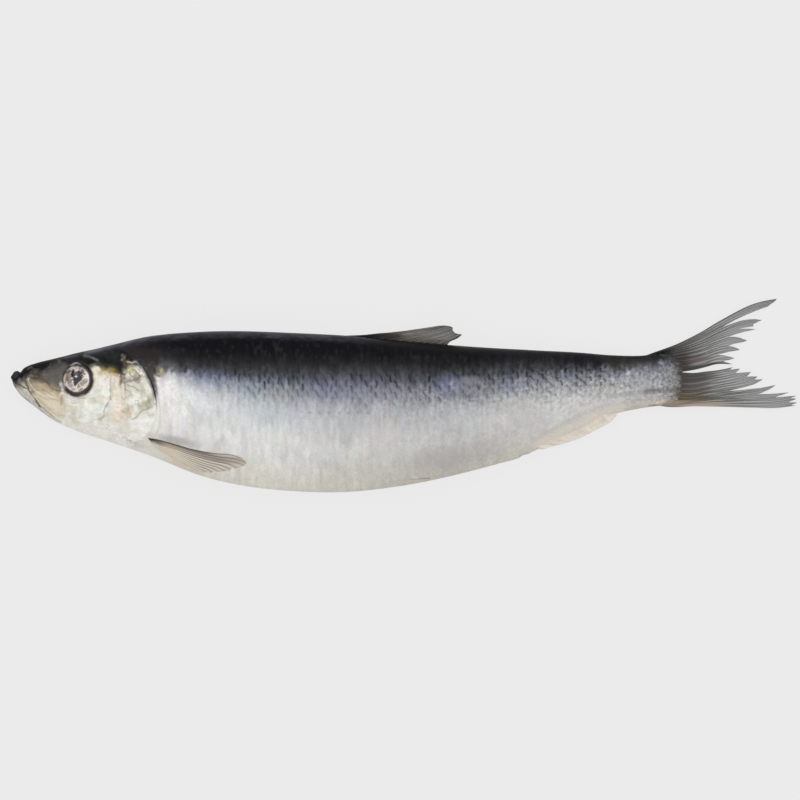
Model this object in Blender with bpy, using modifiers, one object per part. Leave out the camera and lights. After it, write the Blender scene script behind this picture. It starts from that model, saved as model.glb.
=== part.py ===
"""A whole salted Atlantic herring, lying on its right side with its left side up.

The head points to -X, the back to +Y and the left flank to +Z. All shapes are worked out in
millimetres in the fish's own terms: along, from the tip of the lower jaw towards the tail;
height, from the level of the jaw tip towards the back; and z, from the table up. The finished
fish is then centred over the origin with its underside at z = 0.
"""

import math
import random

import bmesh
import bpy
import numpy as np
from mathutils import Matrix, Vector

MM = 0.001
WELD_DISTANCE = 0.000001
NORMAL_REACH = 0.5  # over how many millimetres the slope of the skin is read

# The trunk: distance along, height of the back, height of the belly, half the thickness
TRUNK_STATIONS = (
    (0.0, 0.4, -1.0, 0.8),
    (0.6, 1.4, -2.9, 1.8),
    (2.1, 2.2, -5.4, 2.7),
    (3.4, 1.8, -7.1, 3.2),
    (4.4, 3.2, -8.0, 3.6),
    (6.3, 4.5, -9.6, 4.3),
    (9.4, 5.7, -11.9, 5.1),
    (15.5, 7.3, -16.3, 6.4),
    (24.7, 9.5, -20.8, 7.9),
    (33.9, 11.5, -23.8, 9.5),
    (52.2, 15.6, -30.0, 12.6),
    (73.7, 17.5, -38.3, 14.2),
    (110.4, 17.0, -44.0, 14.6),
    (129.0, 16.0, -44.1, 14.2),
    (148.7, 14.0, -41.7, 13.4),
    (186.9, 11.0, -32.7, 10.6),
    (217.5, 9.5, -20.7, 7.4),
    (229.8, 8.6, -14.4, 6.0),
    (240.5, 7.9, -11.9, 4.7),
    (252.0, 8.8, -10.4, 3.0),
    (258.0, 8.6, -9.6, 1.7),
    (260.5, 7.4, -8.6, 0.7),
)
# Height of the backbone above the table: the head and tail sag towards it
BACKBONE = ((0, 9.5), (25, 11.2), (56, 13.4), (100, 13.9), (150, 12.8), (200, 8.9), (250, 4.1), (300, 1.4))
SHOULDER = 0.08  # how far above half height the fish is thickest, as a share of half its depth
BACK_ROUNDNESS = 0.85  # under 1 makes the back blunt
KEEL_SHARPNESS = 1.3  # over 1 draws the belly to a keel

# The gill opening bends round the head: its furthest point, and how fast it curves forwards
GILL_ALONG = 56.1
GILL_DEEPEST = 0.62  # share of the depth, from the back, where the cover reaches furthest
GILL_CURVE_UP, GILL_CURVE_DOWN = 40.6, 72.7
GILL_TOP, GILL_BOTTOM = 0.12, 0.96  # where the opening starts and ends, as shares of the depth
GILL_BLEND = 22.0  # how far the bend is felt before and after the opening
GILL_COVER_START, GILL_COVER_LIFT = 35.0, 0.9
GILL_SLIT_WIDTH, GILL_SLIT_DEPTH, GILL_SLIT_FADE = 0.5, 0.6, 1.5

RING_POINTS = 40
HEAD_RINGS = 34
SNOUT_CROWDING = 1.35  # over 1 crowds the rings towards the snout
TRUNK_FIRST_RING, TRUNK_RING_SPACING = 58.1, 4.5
TAIL_ROOT_RINGS = (255.5, 258.5, 260.5)

EYE_ALONG, EYE_HEIGHT = 25.7, -0.7
EYE_RADIUS = 5.3
EYE_HALF_DEPTH = 2.3
EYE_BEDDED = 0.9  # how far the eye's middle lies below the skin
ORBIT_RADIUS, ORBIT_WIDTH = 5.7, 0.9

# Lines sunk in each side of the head, as points on the skin
MOUTH_LINE = ((3.5, 0.9), (4.2, -1.2), (5.5, -4.6), (8.2, -8.2), (11.7, -11.5))
CHEEK_LINE = ((37.9, 1.5), (38.0, -5.0), (37.3, -10.3), (35.4, -15.7), (31.6, -17.6))
MOUTH_WIDTH, CHEEK_WIDTH = 0.8, 0.7
LINE_POINTS = 12
BAR_LIFT = 0.15  # as a share of the line's width

RAY_TIP_SHARE = 0.4  # a ray's thickness at its tip, as a share of that at its root
MEMBRANE_SHARE = 0.5  # the skin between two rays, as a share of a ray's thickness
FRAY, TEAR = 0.04, 0.18  # how far the margin is worn back between rays, and at a tear
FIN_STEPS = 5

# Each fin is a patch between four edges: the root, the margin, the first ray and the last.
# A tear is named by the ray that it follows.
CAUDAL_UPPER = {
    "root": ((241.0, 6.8), (252.5, 8.0), (256.0, 5.5), (256.6, 2.4)),
    "margin": ((292.5, 29.9), (285.2, 17.8), (278.8, 9.6), (276.1, 4.6)),
    "first": ((241.0, 6.8), (248.2, 10.4), (260.4, 15.7), (272.6, 22.6), (281.8, 27.6), (292.5, 29.9)),
    "last": ((256.6, 2.4), (263.5, 3.6), (269.6, 4.8), (276.1, 4.6)),
    "rays": 10, "thickness": 1.6, "tears": (2, 5, 7, 9),
}
CAUDAL_LOWER = {
    "root": ((256.6, 1.0), (256.4, -5.0), (253.0, -8.4), (243.0, -9.8)),
    "margin": ((276.1, 3.5), (287.6, -1.0), (297.6, -5.5), (300.6, -8.2), (300.2, -11.1)),
    "first": ((256.6, 1.0), (263.5, 1.9), (269.6, 2.5), (276.1, 3.5)),
    "last": ((243.0, -9.8), (254.0, -11.3), (275.0, -11.8), (290.0, -12.0), (300.2, -11.1)),
    "rays": 9, "thickness": 1.6, "tears": (4, 6),
}
DORSAL = {
    "root": ((131.5, 14.6), (150.0, 12.6), (167.0, 10.8)),
    "margin": ((164.5, 19.6), (168.8, 19.6), (170.2, 17.4), (172.8, 16.2)),
    "first": ((131.5, 14.6), (144.0, 17.2), (156.3, 18.9), (164.5, 19.6)),
    "last": ((167.0, 10.8), (167.8, 13.6), (172.8, 16.2)),
    "rays": 9, "thickness": 1.5, "tears": (),
}
ANAL = {
    "root": ((199.0, -25.6), (215.2, -19.4), (230.4, -12.4)),
    "margin": ((204.0, -27.9), (212.0, -25.5), (223.7, -20.0), (233.6, -14.1)),
    "first": ((199.0, -25.6), (204.0, -27.9)),
    "last": ((230.4, -12.4), (233.6, -14.1)),
    "rays": 9, "thickness": 1.3, "tears": (),
}
PECTORAL = {
    "root": ((52.6, -23.3), (54.2, -25.6), (55.8, -27.8)),
    "margin": ((88.6, -31.3), (89.3, -33.0), (84.0, -34.4), (73.0, -36.6)),
    "first": ((52.6, -23.3), (72.1, -27.9), (80.5, -29.8), (88.6, -31.3)),
    "last": ((55.8, -27.8), (64.0, -32.2), (73.0, -36.6)),
    "rays": 8, "thickness": 1.5, "tears": (),
}
PELVIC = {
    "root": ((144.6, -40.3), (145.6, -41.2)),
    "margin": ((160.5, -38.9), (158.4, -40.1)),
    "first": ((144.6, -40.3), (160.5, -38.9)),
    "last": ((145.6, -41.2), (158.4, -40.1)),
    "rays": 3, "thickness": 1.2, "tears": (),
}
# The plate of the upper jaw lies on the cheek behind the mouth
UPPER_JAW = {
    "root": ((6.3, -0.4), (5.6, -1.2)),
    "margin": ((21.0, -10.4), (22.0, -12.8), (19.0, -14.3)),
    "first": ((6.3, -0.4), (13.2, -4.4), (21.0, -10.4)),
    "last": ((5.6, -1.2), (11.4, -8.6), (19.0, -14.3)),
    "rays": 2, "thickness": 1.7, "tears": (),
}
WEAR_SEED = 7


def clear_scene():
    for obj in list(bpy.data.objects):
        bpy.data.objects.remove(obj)


def material(name, colour, roughness, metallic=0.0):
    made = bpy.data.materials.new(name)
    made.use_nodes = True
    shader = made.node_tree.nodes["Principled BSDF"]
    shader.inputs["Base Color"].default_value = (*colour, 1.0)
    shader.inputs["Roughness"].default_value = roughness
    shader.inputs["Metallic"].default_value = metallic
    return made


def collection(name):
    made = bpy.data.collections.new(name)
    bpy.context.scene.collection.children.link(made)
    return made


def smooth(knots, values, x):
    """A cubic curve through the knots, with each tangent taken from its two neighbours."""
    knots, values = np.asarray(knots, float), np.asarray(values, float)
    tangents = np.gradient(values, knots)
    x = np.clip(x, knots[0], knots[-1])
    i = np.clip(np.searchsorted(knots, x, side="right") - 1, 0, len(knots) - 2)
    gap = knots[i + 1] - knots[i]
    t = (x - knots[i]) / gap
    rise = t * t * (3 - 2 * t)
    return (
        values[i] * (1 - rise)
        + values[i + 1] * rise
        + gap * t * (1 - t) * ((1 - t) * tangents[i] - t * tangents[i + 1])
    )


def trunk_at(along):
    """Height of the back, height of the belly and half thickness, at each distance along."""
    columns = np.array(TRUNK_STATIONS).T
    return [smooth(columns[0], column, along) for column in columns[1:]]


def backbone_at(along):
    columns = np.array(BACKBONE, float).T
    return smooth(columns[0], columns[1], along)


def half_width(half, level):
    """Distance of the skin from the middle plane, where level runs from 1 at the back to -1 at the keel."""
    power = BACK_ROUNDNESS + (KEEL_SHARPNESS - BACK_ROUNDNESS) * (1 - level) / 2
    return half * np.maximum(1 - level**2, 0) ** (power / 2)


def skin_out(along, height):
    """Distance of the skin from the middle plane at a point of the side view."""
    back, belly, half = trunk_at(along)
    share = np.clip((height - (back + belly) / 2) / ((back - belly) / 2), -1, 1)
    root = np.sqrt(1 - 4 * SHOULDER * (share - SHOULDER))
    return half_width(half, np.clip((1 - root) / (2 * SHOULDER), -1, 1))


def gill_relief(station, depth):
    """The gill cover rises towards its edge, and the skin behind it dips into the slit."""
    open_here = np.sin(np.pi * np.clip((depth - GILL_TOP) / (GILL_BOTTOM - GILL_TOP), 0, 1))
    lift = np.clip((station - GILL_COVER_START) / (GILL_ALONG - GILL_COVER_START), 0, 1) ** 1.5
    behind = station - GILL_ALONG
    sunk = GILL_SLIT_DEPTH * np.exp(-np.maximum(behind, 0) / GILL_SLIT_FADE)
    on_cover = behind < GILL_SLIT_WIDTH / 2
    return np.where(on_cover, GILL_COVER_LIFT * lift, -sunk) * open_here**0.7


def trunk_points():
    """Rings of skin points, one row a ring. The rings bend to follow the gill opening."""
    head = GILL_ALONG * (np.arange(1, HEAD_RINGS + 1) / HEAD_RINGS) ** SNOUT_CROWDING
    slit = GILL_ALONG + GILL_SLIT_WIDTH
    body = np.arange(TRUNK_FIRST_RING, TAIL_ROOT_RINGS[0] - TRUNK_RING_SPACING / 2, TRUNK_RING_SPACING)
    station = np.concatenate([[0.0], head, [slit], body, TAIL_ROOT_RINGS])[:, None]
    turn = (np.arange(RING_POINTS) / RING_POINTS * 2 * np.pi)[None, :]
    level = np.cos(turn)
    risen = level + SHOULDER * (1 - level**2)
    depth = (1 - risen) / 2
    curve = np.where(depth < GILL_DEEPEST, GILL_CURVE_UP, GILL_CURVE_DOWN)
    bend = curve * (depth - GILL_DEEPEST) ** 2
    bend = bend * np.exp(-(((station - GILL_ALONG) / GILL_BLEND) ** 2))
    along = np.clip(station - bend, 0, TAIL_ROOT_RINGS[-1])
    back, belly, half = trunk_at(along)
    height = (back + belly) / 2 + (back - belly) / 2 * risen
    out = half_width(half, level) + gill_relief(station, depth)
    z = backbone_at(along) + np.sign(np.round(np.sin(turn), 9)) * out
    return np.stack([along, height, np.maximum(z, 0.0)], axis=-1)


def grid_faces(rows, columns, closed=False):
    """The faces of a grid of points numbered row by row. A closed grid joins its last column to its first."""
    faces = []
    for i in range(rows - 1):
        for j in range(columns if closed else columns - 1):
            a, b = i * columns + j, i * columns + (j + 1) % columns
            faces.append((a, b, b + columns, a + columns))
    return faces


def mesh_object(name, points, faces, home, finish):
    """A mesh from points in millimetres, with its one material, in its collection."""
    mesh = bpy.data.meshes.new(name)
    mesh.from_pydata((np.asarray(points) * MM).tolist(), [], faces)
    obj = bpy.data.objects.new(name, mesh)
    home.objects.link(obj)
    mesh.materials.append(finish)
    return obj


def make_trunk(home, finish):
    """The body from jaw tip to tail root, a loft whose two ends are capped."""
    rings = trunk_points()
    faces = grid_faces(len(rings), RING_POINTS, closed=True)
    last_ring = (len(rings) - 1) * RING_POINTS
    faces.append(tuple(range(RING_POINTS)))
    faces.append(tuple(range(last_ring, last_ring + RING_POINTS)))
    trunk = mesh_object("herring", rings.reshape(-1, 3), faces, home, finish)
    weld_and_face_out(trunk.data)
    trunk.data.shade_smooth()
    return trunk


def weld_and_face_out(mesh):
    """Joins points that coincide and turns every face outward."""
    work = bmesh.new()
    work.from_mesh(mesh)
    bmesh.ops.remove_doubles(work, verts=work.verts, dist=WELD_DISTANCE)
    bmesh.ops.recalc_face_normals(work, faces=work.faces)
    work.to_mesh(mesh)
    work.free()


def curve_at(points, t):
    """A smooth curve through points of the side view, with t from 0 to 1 along its chords."""
    points = np.asarray(points, float)
    chords = np.linalg.norm(np.diff(points, axis=0), axis=1)
    knots = np.concatenate([[0], np.cumsum(chords)]) / chords.sum()
    return np.stack([smooth(knots, points[:, k], t) for k in (0, 1)], axis=-1)


def ray_points(sheet, share, reach):
    """Points along one line of a patch, the blend of its four edges, with share across the patch."""
    out = np.linspace(0, reach, FIN_STEPS + 1)
    first, last = curve_at(sheet["first"], out), curve_at(sheet["last"], out)
    root, margin = curve_at(sheet["root"], share), curve_at(sheet["margin"], share)
    out = out[:, None]
    corners = (1 - share) * ((1 - out) * first[0] + out * np.array(sheet["first"][-1]))
    corners = corners + share * ((1 - out) * last[0] + out * np.array(sheet["last"][-1]))
    return (1 - share) * first + share * last + (1 - out) * root + out * margin - corners


def make_sheet(name, sheet, home, finish, side=0, ribbed=True):
    """A ribbed fin, thick at each ray and thin between them, or a smooth plate thick in the middle.

    A sheet on the middle plane has side 0; one on the left flank has 1 and on the right -1.
    """
    draw = random.Random(WEAR_SEED)
    columns = 2 * sheet["rays"] + 1
    points, weights = [], []
    for i in range(columns):
        share = i / (columns - 1)
        is_ray = i % 2 == 1 or i in (0, columns - 1)
        worn = 0.0
        if ribbed:
            worn = FRAY * draw.uniform(0, 0.5 if is_ray else 2)
            worn += TEAR if not is_ray and i // 2 in sheet["tears"] else 0.0
        column = ray_points(sheet, share, 1 - worn)
        height = backbone_at(column[:, 0]) + side * skin_out(column[:, 0], column[:, 1])
        points.append(np.column_stack([column, height]))
        thick = 1.0 if is_ray else MEMBRANE_SHARE
        taper = np.linspace(1, RAY_TIP_SHARE, FIN_STEPS + 1)
        if not ribbed:
            thick, taper = 0.5 + 0.5 * math.sin(math.pi * share), np.ones(FIN_STEPS + 1)
        weights.append(thick * taper)
    obj = mesh_object(name, np.concatenate(points), grid_faces(columns, FIN_STEPS + 1), home, finish)
    group = obj.vertex_groups.new(name="thickness")
    for i, weight in enumerate(np.concatenate(weights)):
        group.add([i], float(weight), "REPLACE")
    solidify = obj.modifiers.new("thickness", "SOLIDIFY")
    solidify.thickness = sheet["thickness"] * MM
    solidify.offset = 0
    solidify.vertex_group = group.name
    return obj


def on_skin(point, side):
    """A point of the side view, placed on the skin of one flank, in metres."""
    along, height = point
    z = backbone_at(along) + side * skin_out(along, height)
    return Vector((along, height, float(z))) * MM


def skin_normal(point, side):
    """The outward direction of the skin at a point of the side view."""
    along, height = point
    reach = NORMAL_REACH
    lengthwise = on_skin((along + reach, height), side) - on_skin((along - reach, height), side)
    upward = on_skin((along, height + reach), side) - on_skin((along, height - reach), side)
    return (lengthwise.cross(upward) * side).normalized()


def make_eye(side, home, finish):
    """A flattened ball bedded in its socket, facing the way that the cheek faces."""
    bpy.ops.mesh.primitive_uv_sphere_add(segments=24, ring_count=12, radius=EYE_RADIUS * MM)
    eye = bpy.context.object
    eye.name = "eye_left" if side > 0 else "eye_right"
    eye.data.transform(Matrix.Diagonal((1, 1, EYE_HALF_DEPTH / EYE_RADIUS, 1)))
    place = (EYE_ALONG, EYE_HEIGHT)
    facing = skin_normal(place, side)
    eye.rotation_mode = "QUATERNION"
    eye.rotation_quaternion = facing.to_track_quat("Z", "Y")
    eye.location = on_skin(place, side) - facing * EYE_BEDDED * MM
    eye.data.materials.append(finish)
    for other in list(eye.users_collection):
        other.objects.unlink(eye)
    home.objects.link(eye)


def tube(name, path, width, home, closed=False):
    """A round bar along a path, used to sink a line into the skin."""
    curve = bpy.data.curves.new(name, "CURVE")
    curve.dimensions = "3D"
    curve.bevel_depth = width / 2 * MM
    curve.bevel_resolution = 0
    curve.use_fill_caps = True
    spline = curve.splines.new("POLY")
    spline.points.add(len(path) - 1)
    for point, place in zip(spline.points, path):
        point.co = (*place, 1)
    spline.use_cyclic_u = closed
    guide = bpy.data.objects.new(name + "_guide", curve)
    home.objects.link(guide)
    cutter = bpy.data.objects.new(name, evaluated_mesh(guide))
    bpy.data.objects.remove(guide)
    weld_and_face_out(cutter.data)
    cutter.hide_render = True
    cutter.display_type = "WIRE"
    home.objects.link(cutter)


def sink_line(name, points, side, width, home, closed=False):
    """A bar along a line on one flank, raised a little so that its widest part stands clear of the skin."""
    lift = BAR_LIFT * width * MM
    path = [on_skin(p, side) + skin_normal(p, side) * lift for p in points]
    tube(f"{name}_{side}", path, width, home, closed)


def sink_lines(side, home):
    """The mouth, the edge of the cheek plate and the rim of the eye socket."""
    steps = np.linspace(0, 1, LINE_POINTS)
    sink_line("mouth", curve_at(MOUTH_LINE, steps), side, MOUTH_WIDTH, home)
    sink_line("cheek", curve_at(CHEEK_LINE, steps), side, CHEEK_WIDTH, home)
    turns = np.linspace(0, 2 * np.pi, 2 * LINE_POINTS, endpoint=False)
    around = np.stack([np.cos(turns), np.sin(turns)], axis=-1) * ORBIT_RADIUS
    sink_line("orbit", around + (EYE_ALONG, EYE_HEIGHT), side, ORBIT_WIDTH, home, closed=True)


def evaluated_mesh(obj):
    """The object's mesh with its modifiers or its bevel applied."""
    view = bpy.context.evaluated_depsgraph_get()
    return bpy.data.meshes.new_from_object(obj.evaluated_get(view))


def apply_boolean(obj, operation, operands):
    """One Boolean of the whole collection, applied, with the collection's objects then removed.

    The exact solver leaves edges with four faces where the mouth line meets the jaw's notch, so
    the manifold solver takes its place.
    """
    boolean = obj.modifiers.new(operation.lower(), "BOOLEAN")
    boolean.operation = operation
    boolean.operand_type = "COLLECTION"
    boolean.collection = operands
    boolean.solver = "MANIFOLD"
    bpy.context.view_layer.update()
    joined = evaluated_mesh(obj)
    obj.modifiers.clear()
    obj.data = joined
    for other in list(operands.objects):
        bpy.data.objects.remove(other)
    bpy.data.collections.remove(operands)


def centre_over_origin(obj):
    """Moves the mesh so that its box is centred in X and Y and stands on z = 0."""
    points = np.array([v.co for v in obj.data.vertices])
    low, high = points.min(axis=0), points.max(axis=0)
    middle = (low + high) / 2
    obj.data.transform(Matrix.Translation((-middle[0], -middle[1], -low[2])))


def main():
    clear_scene()
    home = collection("herring")
    skin = material("silver skin", (0.62, 0.63, 0.63), 0.35, 0.3)
    fin_skin = material("fin membrane", (0.17, 0.16, 0.15), 0.5)
    eye = material("eye", (0.55, 0.48, 0.42), 0.15)

    trunk = make_trunk(home, skin)
    grown_on = collection("grown_on")
    make_sheet("caudal_upper", CAUDAL_UPPER, grown_on, fin_skin)
    make_sheet("caudal_lower", CAUDAL_LOWER, grown_on, fin_skin)
    make_sheet("dorsal", DORSAL, grown_on, fin_skin)
    make_sheet("anal", ANAL, grown_on, fin_skin)
    for side, word in ((1, "left"), (-1, "right")):
        make_sheet(f"pectoral_{word}", PECTORAL, grown_on, fin_skin, side)
        make_sheet(f"pelvic_{word}", PELVIC, grown_on, fin_skin, side)
        make_sheet(f"upper_jaw_{word}", UPPER_JAW, grown_on, skin, side, ribbed=False)
    sunk = collection("sunk")
    for side in (1, -1):
        sink_lines(side, sunk)
    apply_boolean(trunk, "UNION", grown_on)
    apply_boolean(trunk, "DIFFERENCE", sunk)
    eyes = collection("eyes")
    for side in (1, -1):
        make_eye(side, eyes, eye)
    apply_boolean(trunk, "UNION", eyes)
    centre_over_origin(trunk)
    trunk.data.set_sharp_from_angle(angle=math.radians(40))


main()
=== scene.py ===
# %% [markdown]
# # A whole salted herring
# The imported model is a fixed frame: one closed solid with the true outline and thickness. This
# lesson dresses it. Every piece below is a surface of two parameters, worked out as whole numpy
# arrays in millimetres in the fish's own terms: along, from the jaw tip towards the tail; height,
# from the level of the jaw tip towards the back; and z, up from the table. Only the last step
# turns them into metres in the frame.

# %% Load the frame and keep its box
import math

import bpy
import numpy as np
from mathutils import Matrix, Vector


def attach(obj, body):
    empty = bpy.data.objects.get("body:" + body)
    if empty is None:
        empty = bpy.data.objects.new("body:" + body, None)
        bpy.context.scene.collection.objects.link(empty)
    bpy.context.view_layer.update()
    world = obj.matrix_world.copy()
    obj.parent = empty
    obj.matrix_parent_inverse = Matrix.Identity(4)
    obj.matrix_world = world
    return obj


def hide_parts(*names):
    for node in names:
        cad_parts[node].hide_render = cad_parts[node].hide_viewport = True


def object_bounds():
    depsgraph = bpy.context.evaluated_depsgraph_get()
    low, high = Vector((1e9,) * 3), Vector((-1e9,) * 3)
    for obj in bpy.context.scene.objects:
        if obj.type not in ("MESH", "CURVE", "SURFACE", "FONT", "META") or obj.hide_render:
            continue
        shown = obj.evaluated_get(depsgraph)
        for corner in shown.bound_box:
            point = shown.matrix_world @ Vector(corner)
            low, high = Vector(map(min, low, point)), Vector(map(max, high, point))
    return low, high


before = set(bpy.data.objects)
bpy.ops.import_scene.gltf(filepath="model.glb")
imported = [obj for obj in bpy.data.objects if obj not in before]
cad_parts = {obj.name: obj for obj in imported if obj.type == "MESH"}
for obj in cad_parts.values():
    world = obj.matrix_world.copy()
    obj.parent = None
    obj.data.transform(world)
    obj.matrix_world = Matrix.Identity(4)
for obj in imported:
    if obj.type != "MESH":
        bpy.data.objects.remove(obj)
cad_box = [list(corner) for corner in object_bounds()]
MM = 0.001
cad_low, cad_high = np.array(cad_box) / MM
print("the frame's box is", np.round(cad_high - cad_low, 1), "mm")

# %% [markdown]
# ## The form of the trunk
# A herring's trunk is a loft: its side view has a back line and a belly line, and each section
# across it is an oval that is blunt at the back and drawn to a keel at the belly. A loft from a
# few measured stations is the shortest way to hold that, and it gives the skin a formula, so
# that fins, eyes and plates can be set on it anywhere.

# %% The stations of the trunk
# Distance along, height of the back, height of the belly, half the thickness, in millimetres
TRUNK_STATIONS = (
    (0, 0.4, -1, 0.8), (0.6, 1.4, -2.9, 1.8), (2.1, 2.2, -5.4, 2.7), (3.4, 1.8, -7.1, 3.2),
    (4.4, 3, -8, 3.6), (6.3, 4.1, -9.6, 4.3), (9.4, 5.2, -11.9, 5.1), (15.5, 6.7, -16.3, 6.4),
    (24.7, 9, -20.8, 7.9), (33.9, 11, -23.8, 9.5), (52.2, 15.3, -30, 12.6), (73.7, 17.2, -38.3, 14.2),
    (110.4, 16.6, -44, 14.6), (129, 15.6, -44.1, 14.2), (148.7, 13.7, -41.9, 13.4),
    (186.9, 10.8, -33.2, 10.6), (194.6, 10.4, -31, 9.9), (200, 10.1, -28.5, 9.3),
    (217.5, 9.2, -20.9, 7.4), (229.8, 8.2, -14.7, 6), (240.5, 8, -12.2, 4.7), (250, 8.8, -10.8, 3),
    (254, 8.2, -9.9, 2), (256, 6.4, -8.4, 1), (257, 4.6, -6.6, 0.3),
)
# Distance along, height of the middle plane above the table
BACKBONE = (
    (0, 9.5), (25, 11.2), (56, 13.4), (100, 13.9), (150, 12.8), (200, 8.9), (250, 4.1), (300, 1.4),
)
SHOULDER = 0.08  # how far above half height the fish is thickest, as a share of half its depth
BACK_ROUNDNESS = 0.85  # under 1 makes the back blunt
KEEL_SHARPNESS = 1.3  # over 1 draws the belly to a keel


def smooth(knots, values, x):
    """A cubic curve through the knots, with each tangent taken from its two neighbours."""
    knots, values = np.asarray(knots, float), np.asarray(values, float)
    tangents = np.gradient(values, knots)
    x = np.clip(x, knots[0], knots[-1])
    i = np.clip(np.searchsorted(knots, x, side="right") - 1, 0, len(knots) - 2)
    gap = knots[i + 1] - knots[i]
    t = (x - knots[i]) / gap
    rise = t * t * (3 - 2 * t)
    bow = gap * t * (1 - t) * ((1 - t) * tangents[i] - t * tangents[i + 1])
    return values[i] * (1 - rise) + values[i + 1] * rise + bow


def curve_over(rows, x):
    """A smooth curve through the rows (x, value) of a table."""
    return smooth(*np.array(rows, float).T, x)


def lines_over(rows, x):
    """Straight lines between the rows (x, value) of a table."""
    return np.interp(x, *np.array(rows, float).T)


def curve_at(points, t):
    """A smooth curve through points of the side view, with t from 0 to 1 along its chords."""
    points = np.asarray(points, float)
    chords = np.linalg.norm(np.diff(points, axis=0), axis=1)
    knots = np.concatenate([[0], np.cumsum(chords)]) / chords.sum()
    return np.stack([smooth(knots, points[:, k], t) for k in (0, 1)], axis=-1)


def ease(start, end, x):
    """0 up to start, 1 from end on, and an S curve between them."""
    t = np.clip((np.asarray(x, float) - start) / (np.asarray(end) - start), 0, 1)
    return t * t * (3 - 2 * t)


def between(start, full, fading, end, x):
    """0 outside start and end, 1 from full to fading, and an S curve on either side."""
    return ease(start, full, x) * (1 - ease(fading, end, x))


def bell(x, width):
    """1 where x is 0, falling off on both sides as a bell whose half width is given."""
    return np.exp(-((x / width) ** 2))


def trunk_at(along):
    """Height of the back, height of the belly and half thickness at each distance along."""
    columns = np.array(TRUNK_STATIONS).T
    return [smooth(columns[0], column, along) for column in columns[1:]]


def backbone_at(along):
    """Height of the middle plane above the table."""
    return curve_over(BACKBONE, along)


def half_width(half, level):
    """Distance of the skin from the middle plane; level runs from 1 at the back to -1 at the keel."""
    power = BACK_ROUNDNESS + (KEEL_SHARPNESS - BACK_ROUNDNESS) * (1 - level) / 2
    return half * np.maximum(1 - level**2, 0) ** (power / 2)


def skin_out(along, height):
    """Distance of the skin from the middle plane at a place of the side view."""
    back, belly, half = trunk_at(along)
    share = np.clip((height - (back + belly) / 2) / ((back - belly) / 2), -1, 1)
    root = np.sqrt(1 - 4 * SHOULDER * (share - SHOULDER))
    return half_width(half, np.clip((1 - root) / (2 * SHOULDER), -1, 1))


every_along = np.linspace(0, TRUNK_STATIONS[-1][0], 4000)
belly_low = trunk_at(every_along)[1].min()
FISH_TO_FRAME = np.array([cad_low[0], cad_low[1] - belly_low, 0.0])
print("the belly is lowest", round(-belly_low, 2), "mm below the jaw tip")

# %% [markdown]
# ## From arrays to meshes
# A grid of points becomes a closed mesh in one step: each cell of the grid is a face, and each
# open end is closed by a fan of triangles, or on a thin sheet by a strip of quads. The paint, a
# colour for each point, goes with the points, as does a second value that says how silvery the
# skin is there.

# %% One function turns grids into pieces
def add_object(name, data):
    """Puts a mesh, a lamp or a camera into the scene."""
    thing = bpy.data.objects.new(name, data)
    bpy.context.scene.collection.objects.link(thing)
    return thing


def unit(vectors):
    """The same directions, made unit long."""
    return vectors / np.maximum(np.linalg.norm(vectors, axis=-1, keepdims=True), 1e-9)


def outward(points):
    """The direction across a grid of points: the cross product of its two slopes."""
    lengthwise = np.gradient(points, axis=0)
    around = (np.roll(points, -1, axis=1) - np.roll(points, 1, axis=1)) / 2
    return unit(np.cross(around, lengthwise))


def closed_grid(name, points, layers, normals=None, sheet=False):
    """A tube of rings, one row of points a ring, closed at both ends.

    An end is closed by a fan of triangles about its middle. A sheet's ring is a line and the same
    line back under it, so its end is closed by a strip of quads between the two. layers holds
    named values for the points: three columns are a colour, one is a number.
    """
    rows, columns = points.shape[:2]
    index = np.arange(rows * columns).reshape(rows, columns)
    beside = np.roll(index, -1, axis=1)
    quads = np.stack([index[:-1], index[1:], beside[1:], beside[:-1]], axis=-1).reshape(-1, 4)
    if sheet:
        there = np.arange(columns // 2 - 1)
        strip = np.stack([there, there + 1, columns - 2 - there, columns - 1 - there], axis=-1)
        ends, start_cap, end_cap = np.empty((0, 3)), index[0][strip], index[-1][strip[:, ::-1]]
    else:
        first, last = rows * columns, rows * columns + 1
        ends = np.stack([points[0].mean(axis=0), points[-1].mean(axis=0)])
        start_cap = np.stack([np.full(columns, first), index[0], beside[0]], axis=-1)
        end_cap = np.stack([np.full(columns, last), beside[-1], index[-1]], axis=-1)
    places = np.concatenate([points.reshape(-1, 3), ends]) + FISH_TO_FRAME
    mesh = bpy.data.meshes.new(name)
    faces = quads.tolist() + start_cap.tolist() + end_cap.tolist()
    mesh.from_pydata((places * MM).tolist(), [], faces)
    middle = places[quads].mean(axis=1)
    corners = [places[quads[:, k]] for k in range(4)]
    facing = np.cross(corners[2] - corners[0], corners[3] - corners[1])
    inside_out = ((middle - middle.mean(axis=0)) * facing).sum() < 0
    if inside_out:
        mesh.flip_normals()
    for layer, values in layers.items():
        values = values.reshape(rows * columns, -1)
        values = np.concatenate([values, values[[0, -1]][: len(ends)]]).astype(np.float32)
        if values.shape[1] == 3:
            values = np.column_stack([values, np.ones(len(values), np.float32)])
            mesh.attributes.new(layer, "FLOAT_COLOR", "POINT").data.foreach_set("color", values.ravel())
        else:
            mesh.attributes.new(layer, "FLOAT", "POINT").data.foreach_set("value", values.ravel())
    mesh.shade_smooth()
    if normals is not None:
        cap_normals = [[-1.0, 0, 0], [1.0, 0, 0]]
        every_normal = np.concatenate([normals.reshape(-1, 3), cap_normals])
        mesh.normals_split_custom_set_from_vertices(every_normal.tolist())
    mesh.update()
    return add_object(name, mesh)


def dress(piece, material):
    """Gives a piece its material, lets it ride on the body and stand for the solid."""
    piece.data.materials.append(material)
    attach(piece, "root")
    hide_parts("herring")
    triangles = sum(len(face.vertices) - 2 for face in piece.data.polygons)
    print(piece.name, "has", triangles, "triangles")


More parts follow.
